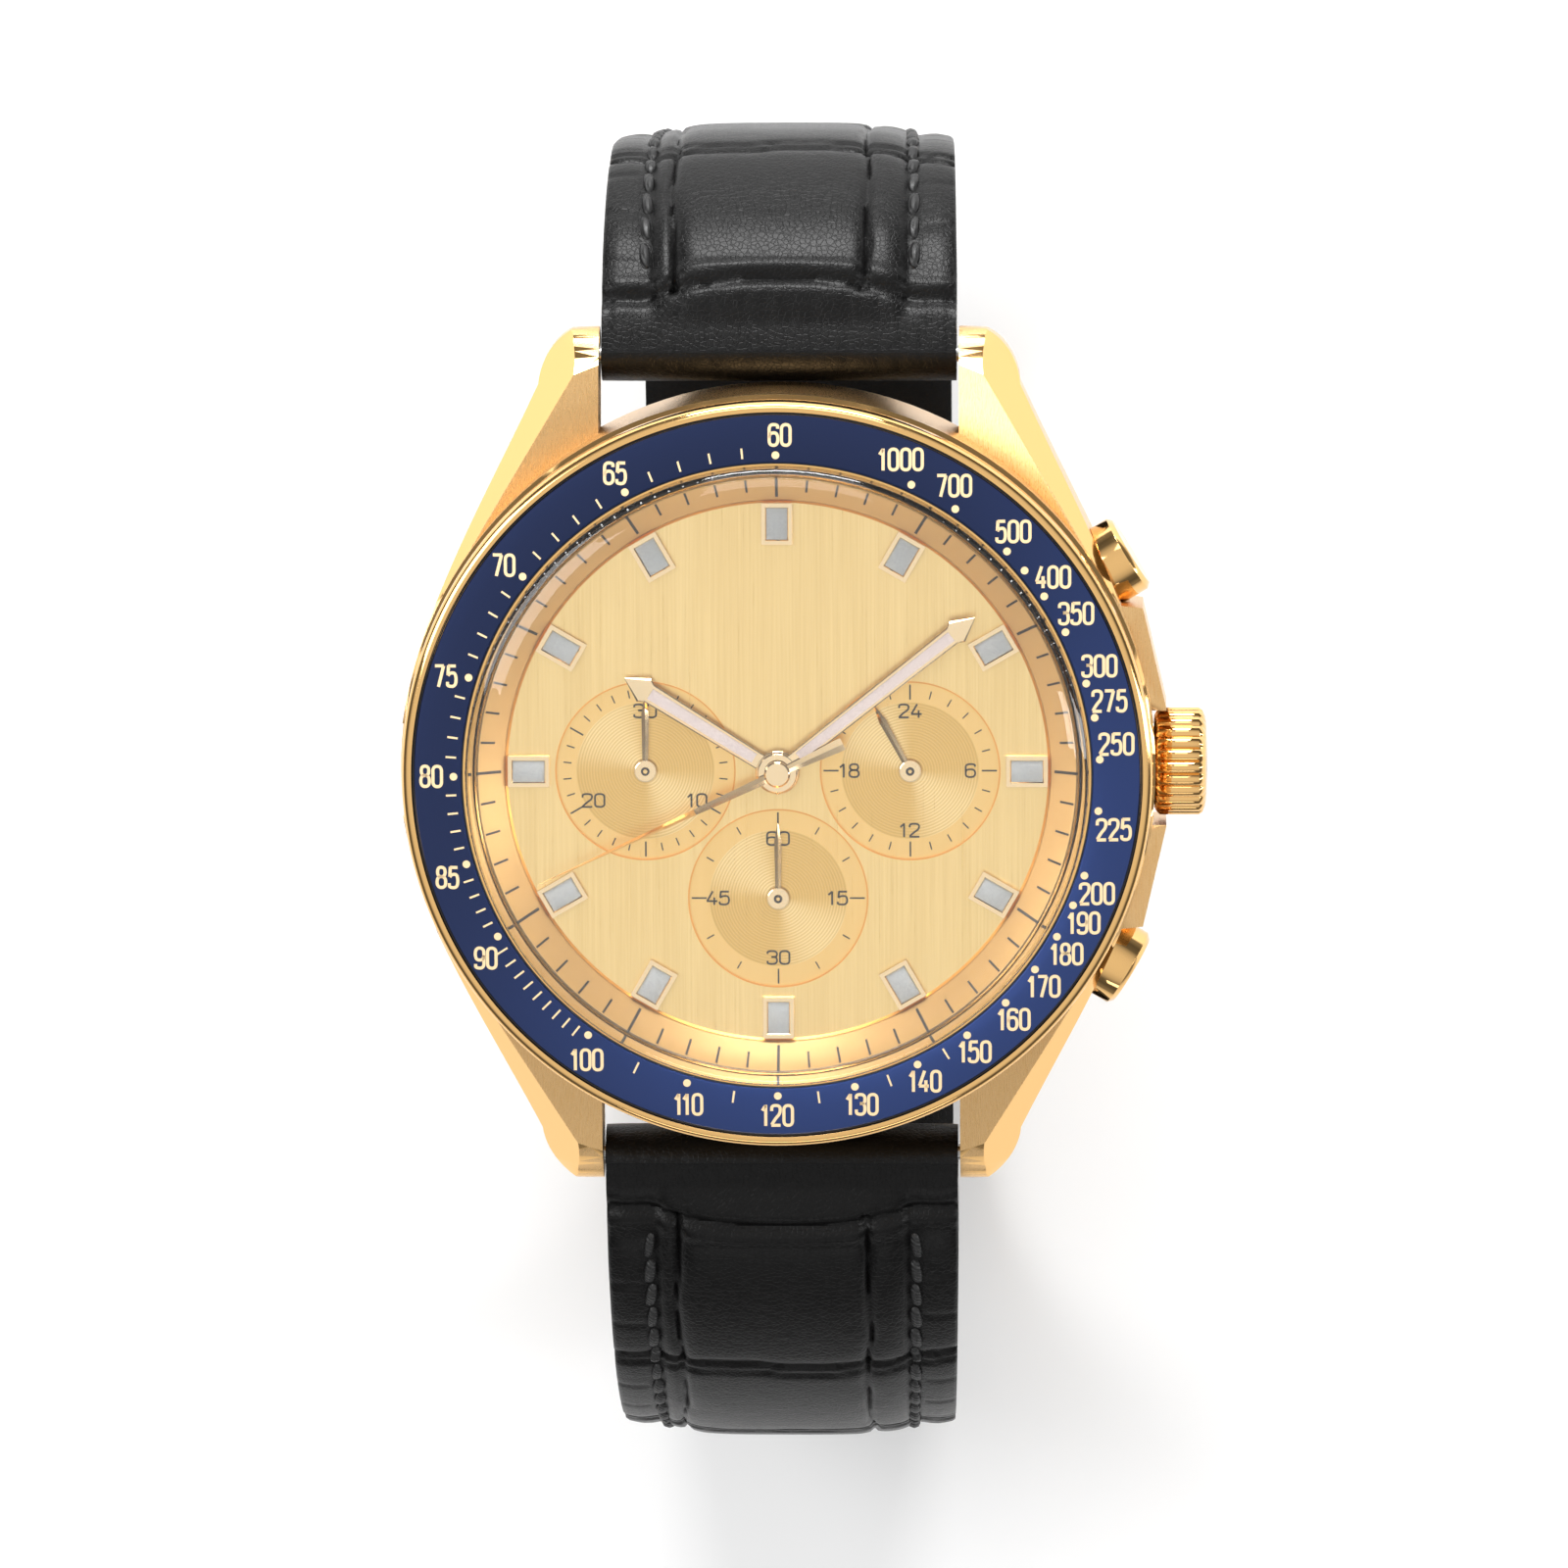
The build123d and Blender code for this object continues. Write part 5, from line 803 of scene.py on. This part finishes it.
for name, node, body, place, angle in (
    ("small seconds hand finished", "small_seconds_hand", "small_seconds", SECONDS, 0.0),
    ("minute counter hand finished", "minute_counter_hand", "minute_counter", COUNTER, 0.0),
    ("day hour hand finished", "day_hour_hand", "day_hour", DAY, 331.5),
):
    low = BACK + 8.45
    work = bmesh.new()
    needle(work, angle, place, low, [(0.2, 0.13), (0.8, 0.16), (3.2, 0.2), (4.2, 0.015)], 0.1)
    shift = Matrix.Translation((place[0] * MM, place[1] * MM, 0))
    revolved(work, [(0.24, low), (0.6, low), (0.6, low + 0.08), (0.54, low + 0.1), (0.24, low + 0.1)], 48, shift)
    piece(name, work, edge_gold, body, (node,), 18.0)
    work = bmesh.new()
    revolved(work, [(0.0, low - 0.05), (0.24, low - 0.05), (0.24, low + 0.06), (0.0, low + 0.07)], 32, shift)
    piece(name.replace("hand finished", "pin"), work, dark_print, body, (), 30.0)

# %% [markdown]
# ## Crown and pushers
# The crown has twenty-four rounded ribs. It is turned about +Z and then laid along +X at its real height.
# The two pushers keep their real shape, polished, with softened edges.

# %%
RIBS, FACETS = 24, 8
work = bmesh.new()
rows = []
# radius, distance from the dial's axis and how far the ribs stand out there
crown_profile = [
    (2.0, 20.82, 0.0), (2.55, 20.82, 0.0), (2.74, 20.95, 0.6), (2.9, 21.15, 1.0), (2.9, 23.3, 1.0),
    (2.8, 23.5, 0.7), (2.5, 23.66, 0.1), (2.2, 23.74, 0.0), (2.0, 23.7, 0.0), (1.0, 23.78, 0.0), (0.05, 23.8, 0.0),
]
for radius, along, ribbed in crown_profile:
    row = []
    for i in range(RIBS * FACETS):
        turn = 2 * math.pi * i / (RIBS * FACETS)
        wave = abs(math.cos(RIBS * turn / 2))
        r = radius + ribbed * (0.22 * wave ** 0.7 - 0.12)
        row.append(work.verts.new((r * math.cos(turn) * MM, r * math.sin(turn) * MM, along * MM)))
    rows.append(row)
for lower, upper in zip(rows, rows[1:]):
    for i in range(len(lower)):
        j = (i + 1) % len(lower)
        work.faces.new((lower[i], lower[j], upper[j], upper[i]))
work.faces.new(rows[-1])
revolved(work, wall(1.0, 2.0, 20.75, 21.0), 64)
along_x = Matrix.Translation((0, 0, CROWN_HIGH * MM)) @ Matrix.Rotation(math.radians(90), 4, "Y")
bmesh.ops.transform(work, matrix=along_x, verts=work.verts)
piece("ribbed crown", work, polished, "crown", ("crown",), 45.0)

softened("start_pusher", polished, "start", 0.07)
softened("reset_pusher", polished, "reset", 0.07)

# %% [markdown]
# ## The strap's path
# Seen from the side each half of the strap leaves its bar, bends down in three arcs and runs flat under the
# wrist. `path` gives a point of the middle line for a distance from the bar, its heading and its thickness.

# %%
STRAP_WIDE, TIP_WIDE = 19.7, 18.0
THIN, END_THICK = 2.0, 4.4
BAR_Y, BAR_Z = 22.5, BACK + 2.0
LEAVE = 12.0         # degrees below level at which a half leaves its bar
FLANK_RADIUS = 80.0
END_WRAP = 1.5
WRAP_STEPS = 14


def arcs(reach, side_turn, low_z):
    """Each arc's middle, radius, and first and last heading in degrees."""
    shoulder = (reach - BAR_Y) / (1 - math.sin(math.radians(LEAVE)))
    top = (BAR_Y - shoulder * math.sin(math.radians(LEAVE)), BAR_Z - shoulder * math.cos(math.radians(LEAVE)))
    flank = (top[0] + shoulder - FLANK_RADIUS, top[1])
    turn_at = math.radians(90 + side_turn)
    turn_y, turn_z = flank[0] + FLANK_RADIUS * math.sin(turn_at), flank[1] + FLANK_RADIUS * math.cos(turn_at)
    bottom = (turn_z - low_z) / (1 + math.cos(turn_at))
    low = (turn_y - bottom * math.sin(turn_at), turn_z - bottom * math.cos(turn_at))
    return [
        (top, shoulder, LEAVE, 90.0), (flank, FLANK_RADIUS, 90.0, 90.0 + side_turn),
        (low, bottom, 90.0 + side_turn, 180.0),
    ]


def path(side, reach, side_turn, low_z, end_y, tail=None, pitch=0.25):
    """Stations (distance, y, z, normal y, normal z, thickness) along one half of the strap."""
    stations, run = [], 0.0
    start_turn = math.radians(LEAVE)
    for i in range(WRAP_STEPS):
        back = END_WRAP * math.cos(math.pi / 2 * i / WRAP_STEPS)
        wrap = math.sqrt(max(0.0, 1 - (back / END_WRAP) ** 2))
        ny, nz = math.sin(start_turn), math.cos(start_turn)
        stations.append((-back, side * (BAR_Y - back * nz), BAR_Z + back * ny, side * ny, nz,
                         END_THICK * max(0.06, wrap)))
    for middle, radius, first, last in arcs(reach, side_turn, low_z):
        count = max(2, int(radius * math.radians(last - first) / pitch))
        for i in range(count):
            heading = first + (last - first) * i / count
            turn = math.radians(heading)
            share = (heading - LEAVE) / (180 - LEAVE)
            thick = THIN + (END_THICK - THIN) * max(0.0, 1 - share / 0.8)
            ny, nz = math.sin(turn), math.cos(turn)
            stations.append((run + radius * (turn - math.radians(first)), side * (middle[0] + radius * ny),
                             middle[1] + radius * nz, side * ny, nz, thick))
        run += radius * math.radians(last - first)
    flat_start = side * arcs(reach, side_turn, low_z)[2][0][0]
    length = abs(end_y - flat_start)
    count = int(length / pitch)
    for i in range(count + 1):
        share = i / count
        y = flat_start + (end_y - flat_start) * share
        stations.append((run + length * share, y, low_z, 0.0, -1.0, THIN))
    run += length
    if tail:
        (middle_y, middle_z), radius, last = tail
        count = int(radius * math.radians(last) / pitch)
        for i in range(1, count + 1):
            turn = math.radians(last) * i / count
            ny, nz = math.sin(turn), -math.cos(turn)
            y, z = middle_y + radius * ny, middle_z + radius * nz
            stations.append((run + radius * turn, y, z, ny, nz, THIN))
    return stations


TAIL_Z = 1.0 + 0.1 + THIN / 2
INNER_Z = TAIL_Z + THIN + 0.2
REACH_12, REACH_6 = 34.1 - 1.6, 42.5 - 1.6
short_arcs = arcs(REACH_12, 8.0, INNER_Z)
TAIL_RADIUS = short_arcs[2][1] + THIN + 0.2
TAIL_START = short_arcs[2][0][0]
short_path = path(1, REACH_12, 8.0, INNER_Z, -13.0 - 1.4)
tail = ((TAIL_START, TAIL_Z + TAIL_RADIUS), TAIL_RADIUS, 40.0)
long_path = path(-1, REACH_6, 10.0, TAIL_Z, TAIL_START, tail)
print("strap stations", len(short_path), len(long_path))

# %% [markdown]
# ## Scaled leather
# Across the strap the outside swells between two rows of stitches and falls to thin flat borders. Creases
# between the large scales are pressed into it: two along the strap and one across it every so often.

# %%
STITCH_AT = 7.45     # distance of a row of stitches from the strap's middle
SMALL_SCALE = 3.1    # length of the small scales on the borders


def half_width(z):
    narrow = min(1.0, max(0.0, (BACK - z) / 32.0))
    return (STRAP_WIDE + (TIP_WIDE - STRAP_WIDE) * narrow) / 2


def groove(distance, wide):
    return math.exp(-((distance / wide) ** 2))


def wobble(u, seed, size):
    waves = ((0.9, 1.0, 0.6), (2.1, 2.3, 0.3), (4.7, 5.1, 0.15))
    return size * sum(math.sin(u * pace + seed * shift) * share for pace, shift, share in waves)


def outside_height(kind, run, across, half):
    """How far the outer leather stands off its base, in millimetres."""
    x = across * half
    edge = half - abs(x)
    pad = max(0.0, 1.0 - (abs(x) / 7.0) ** 4) ** 0.6 if abs(x) < 7.0 else 0.0
    fade = 1.0 if run < 30 else max(0.25, 1 - (run - 30) / 25)
    rise = 0.75 * pad * fade
    rise += 0.28 * min(1.0, edge / 0.9) ** 0.5
    rise -= 0.10 * groove(abs(x) - STITCH_AT, 0.45)
    if run > 3.0:
        for seed, at in ((1.0, -5.9), (4.2, 4.75)):
            away = x - at - wobble(run * 0.45, seed, 0.22)
            rise -= fade * (0.32 * groove(away, 0.16) + 0.13 * groove(away, 0.6))
        first, every = (12.6, 9.6) if kind == "short" else (13.6, 9.9)
        for i in range(9):
            at = first + every * i
            if abs(run - at) < 2.5:
                away = run - at - wobble(x * 0.5, i * 1.7 + 0.4, 0.25)
                rise -= fade * (0.30 * groove(away, 0.17) + 0.12 * groove(away - 0.2, 0.7))
                rise -= fade * 0.16 * groove(away - 0.75, 0.12)
        if abs(x) > 7.9:
            cell = (run + (0.8 if x > 0 else 0.0)) % SMALL_SCALE
            rise -= 0.08 * groove(cell - SMALL_SCALE / 2, 0.16)
    else:
        flat = min(1.0, (3.0 - run) / 1.6)
        rise = rise * (1 - flat) + 0.45 * flat
        rise -= 0.05 * (math.sin(x * 2.1 + 0.7 * math.sin(x * 0.9)) ** 8)
    if 1.6 < run < 4.4:
        arch = 3.0 + 0.9 * max(0.0, 1 - (x / 7.5) ** 2)
        rise += 0.16 * groove(run - arch - 0.45, 0.45)
        rise -= 0.34 * groove(run - arch + 0.35, 0.28)
    return rise


def outside_level(kind, run, across, half, thick):
    """Height of the outer leather over the middle line, in millimetres."""
    if run < 0:
        return thick / 2 - 0.4 * thick / END_THICK * (1 - outside_height(kind, 0.0, across, half) / 0.45)
    padded = max(0.0, (thick - THIN) / (END_THICK - THIN))
    rise = outside_height(kind, run, across, half) * (0.75 + 0.252 * padded)
    return min(thick / 2 - 0.85 + rise, thick / 2 + 0.45)


def strap_half(kind, stations, node, tip=None):
    columns = 96
    work = bmesh.new()
    rows_out, rows_in = [], []
    total = stations[-1][0]
    for run, y, z, ny, nz, thick in stations:
        half = half_width(z)
        if tip is not None and total - run < tip:
            share = 1 - (total - run) / tip
            half *= math.sqrt(max(0.02, 1 - share * share)) if share < 1 else 0.15
        out_row, in_row = [], []
        for i in range(columns + 1):
            across = math.sin((i / columns - 0.5) * math.pi) * 0.35 + (2 * i / columns - 1) * 0.65
            x = across * half
            rise = outside_height(kind, run, across, half)
            level = outside_level(kind, run, x / half, half, thick)
            out_row.append(work.verts.new((x * MM, (y + ny * level) * MM, (z + nz * level) * MM)))
            low = -thick / 2 + 0.12 * (abs(across) ** 12)
            in_row.append(work.verts.new((x * MM, (y + ny * low) * MM, (z + nz * low) * MM)))
        rows_out.append(out_row)
        rows_in.append(in_row)
    for rows in (rows_out, rows_in):
        for a, b in zip(rows, rows[1:]):
            for i in range(columns):
                work.faces.new((a[i], a[i + 1], b[i + 1], b[i]))
    for edge in (0, columns):
        for j in range(len(stations) - 1):
            work.faces.new((rows_out[j][edge], rows_out[j + 1][edge], rows_in[j + 1][edge], rows_in[j][edge]))
    for a, b in ((rows_out[0], rows_in[0]), (rows_out[-1], rows_in[-1])):
        for i in range(columns):
            work.faces.new((a[i], a[i + 1], b[i + 1], b[i]))
    return piece(f"{kind} strap half", work, leather, "root", (node,), 60.0)


strap_half("short", short_path, "strap_short")
strap_half("long", long_path, "strap_long", 7.0)


# %% [markdown]
# ## Stitches
# A thick waxed thread goes through the leather every 1.7 mm. Each stitch is a short plump roll that dips
# at both ends and leans a little, as hand stitches do.

# %%
rng = random.Random(7)


def station_at(stations, run):
    """The path's station at a distance, between the two stations beside it."""
    for a, b in zip(stations, stations[1:]):
        if a[0] <= run <= b[0]:
            t = (run - a[0]) / max(1e-9, b[0] - a[0])
            return [p + (q - p) * t for p, q in zip(a, b)]
    return stations[-1]


def stitches(kind, stations, start, stop, pitch=1.72):
    work = bmesh.new()
    around, along = 8, 8
    for side in (-1, 1):
        run = start
        while run + pitch < stop:
            rows = []
            lean = rng.uniform(0.5, 1.0) * 0.28
            bulge = rng.uniform(0.9, 1.1)
            for i in range(along + 1):
                u = i / along
                at, y, z, ny, nz, thick = station_at(stations, run + pitch * (0.02 + 0.96 * u))
                half = half_width(z)
                centre_x = side * (half - 2.35 + lean * (u - 0.5))
                surface = outside_level(kind, at, centre_x / half, half, thick)
                lift = surface + 0.24 * math.sin(math.pi * u) ** 0.6 - 0.17
                radius = 0.32 * bulge * (0.55 + 0.45 * math.sin(math.pi * u) ** 0.5)
                ring = []
                for k in range(around):
                    turn = 2 * math.pi * k / around
                    x = centre_x + radius * math.cos(turn)
                    high = lift + radius * 0.85 * math.sin(turn)
                    ring.append(work.verts.new((x * MM, (y + ny * high) * MM, (z + nz * high) * MM)))
                rows.append(ring)
            for a, b in zip(rows, rows[1:]):
                for k in range(around):
                    work.faces.new((a[k], a[(k + 1) % around], b[(k + 1) % around], b[k]))
            work.faces.new(rows[0])
            work.faces.new(rows[-1])
            run += pitch
    return piece(f"{kind} strap stitches", work, thread, "root", (), 70.0)


stitches("short", short_path, 4.2, short_path[-1][0] - 12)
stitches("long", long_path, 4.2, long_path[-1][0] - 8)

# %% [markdown]
# ## Keepers, buckle and back
# The free keeper, the buckle and its tongue keep their real shapes and get rounded edges. The fixed keeper is
# a second loop of the same section, which stands still.

# %%
softened("keeper_free", leather, "keeper", 0.22)
softened("buckle_frame", polished, "root", 0.12)
softened("buckle_tongue", polished, "tongue", 0.1)
LOOP_THICK, LOOP_HALF = 1.0, 2.0
_, keeper_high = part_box("keeper_free")
wide, tall = keeper_high[0] / MM, keeper_high[2] / MM
work = bmesh.new()
rows = []
for y_at in (-LOOP_HALF, LOOP_HALF):
    for shrink in (0.0, LOOP_THICK):
        w, low, top = wide - shrink, shrink, tall - shrink
        corners = ((-w, low), (w, low), (w, top), (-w, top))
        rows.append([work.verts.new((px * MM, y_at * MM, pz * MM)) for px, pz in corners])
for a, b in ((0, 2), (1, 3), (0, 1), (2, 3)):
    for i in range(4):
        work.faces.new((rows[a][i], rows[a][(i + 1) % 4], rows[b][(i + 1) % 4], rows[b][i]))
fixed_loop = piece("fixed keeper", work, leather, "root", (), 30.0)
rounder = fixed_loop.modifiers.new("rounded edges", "BEVEL")
rounder.width, rounder.segments, rounder.limit_method = 0.5 * MM, 3, "ANGLE"

# %% [markdown]
# ## The inner works
# Nothing inside shows through the solid back, but every part still has its own finish.

# %%
INNER = {
    steel: ("case_tubes", "winding_stem", "spring_bars", "movement_holder", "start_pusher_spring",
            "reset_pusher_spring", "movement_screws", "winding_pinions", "barrel_arbor", "crown_wheel", "mainspring",
            "click", "setting_lever", "pallet_fork", "cannon_pinion", "column_wheel", "operating_lever",
            "reset_hammer"),
    plate: ("main_plate", "barrel_bridge", "train_bridge", "escapement_cocks", "chronograph_bridge"),
    wheel_gilt: ("barrel_drum", "centre_wheel", "third_wheel", "fourth_wheel", "escape_wheel", "balance_wheel",
                 "minute_wheel", "hour_wheel", "day_middle_wheel", "day_wheel", "chronograph_wheel",
                 "counter_middle_wheel", "minute_counter_wheel"),
    ruby: ("jewels",),
    gasket_and_gap_shade: ("case_gaskets",),
    leather: ("strap_short", "strap_long"),
}
for finish, names in INNER.items():
    for name in names:
        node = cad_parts[name]
        node.data.materials.clear()
        node.data.materials.append(finish.material)

# %% [markdown]
# ## The studio
# A pale floor and five soft lights: top left, right, low in front, and two behind for the strap and the lugs.
# The sky between them is darker, for the polished gold to mirror. The camera looks down at the dial from a
# little above 12 o'clock.

# %%
floor_finish = Finish("pale floor", (0.95, 0.95, 0.95), rough=0.7)
floor_finish.mottled(0.02, 0.1, 0.6)
floor_mesh = bpy.data.meshes.new("floor")
floor_mesh.from_pydata([(-3, -3, 0), (3, -3, 0), (3, 3, 0), (-3, 3, 0)], [], [(0, 1, 2, 3)])
floor_mesh.materials.append(floor_finish.material)
floor = bpy.data.objects.new("floor", floor_mesh)
bpy.context.scene.collection.objects.link(floor)


def softbox(name, place, size, power, target=(0, 0, 0.05)):
    data = bpy.data.lights.new(name, "AREA")
    data.shape, data.size, data.size_y = "RECTANGLE", size[0], size[1]
    data.energy = power
    lamp = bpy.data.objects.new(name, data)
    lamp.location = place
    lamp.rotation_euler = (Vector(target) - Vector(place)).to_track_quat("-Z", "Y").to_euler()
    bpy.context.scene.collection.objects.link(lamp)


softbox("top left light", (-0.45, 0.20, 0.55), (0.30, 0.45), 2.0)
softbox("right strip", (0.60, 0.0, 0.30), (0.10, 0.7), 1.6)
softbox("low light", (0.0, -0.60, 0.42), (0.5, 0.10), 0.4)
softbox("back light", (0.0, 0.60, 0.27), (0.36, 0.20), 5.0)
softbox("high back light", (0.0, 0.45, 0.62), (0.30, 0.20), 0.5)

world = bpy.data.worlds.new("studio")
bpy.context.scene.world = world
world.use_nodes = True
sky_tree = world.node_tree
sky = sky_tree.nodes["Background"]
sky.inputs["Strength"].default_value = 1.0
facing = sky_tree.nodes.new("ShaderNodeTexCoord")
height = sky_tree.nodes.new("ShaderNodeSeparateXYZ")
sky_tree.links.new(facing.outputs["Generated"], height.inputs[0])
ramp = sky_tree.nodes.new("ShaderNodeValToRGB")
sky_tree.links.new(height.outputs["Z"], ramp.inputs[0])
stops = ramp.color_ramp.elements
stops[0].position, stops[0].color = 0.0, (0.26, 0.26, 0.26, 1)
stops[1].position, stops[1].color = 1.0, (0.92, 0.92, 0.92, 1)
for position, level in ((0.10, 0.24), (0.30, 0.11), (0.55, 0.16), (0.72, 0.62), (0.88, 0.86)):
    stop = stops.new(position)
    stop.color = (level, level, level, 1)
sky_tree.links.new(ramp.outputs[0], sky.inputs["Color"])

camera_data = bpy.data.cameras.new("camera")
camera_data.lens, camera_data.sensor_width = 291.0, 36.0
camera_data.clip_end = 10.0
camera = bpy.data.objects.new("camera", camera_data)
bpy.context.scene.collection.objects.link(camera)
aim = Vector((0.38, -0.54, 56.0)) * MM
tilt, lean = math.radians(8.0), math.radians(1.5)
toward = Vector((math.sin(lean), math.sin(tilt), math.cos(tilt))).normalized()
camera.location = aim + toward * 0.70
right = Vector((1, 0, 0))
right = (right - toward * right.dot(toward)).normalized()
upward = toward.cross(right)
camera.rotation_euler = Matrix((right, upward, toward)).transposed().to_euler()
bpy.context.scene.camera = camera
bpy.context.scene.view_settings.view_transform = "Standard"
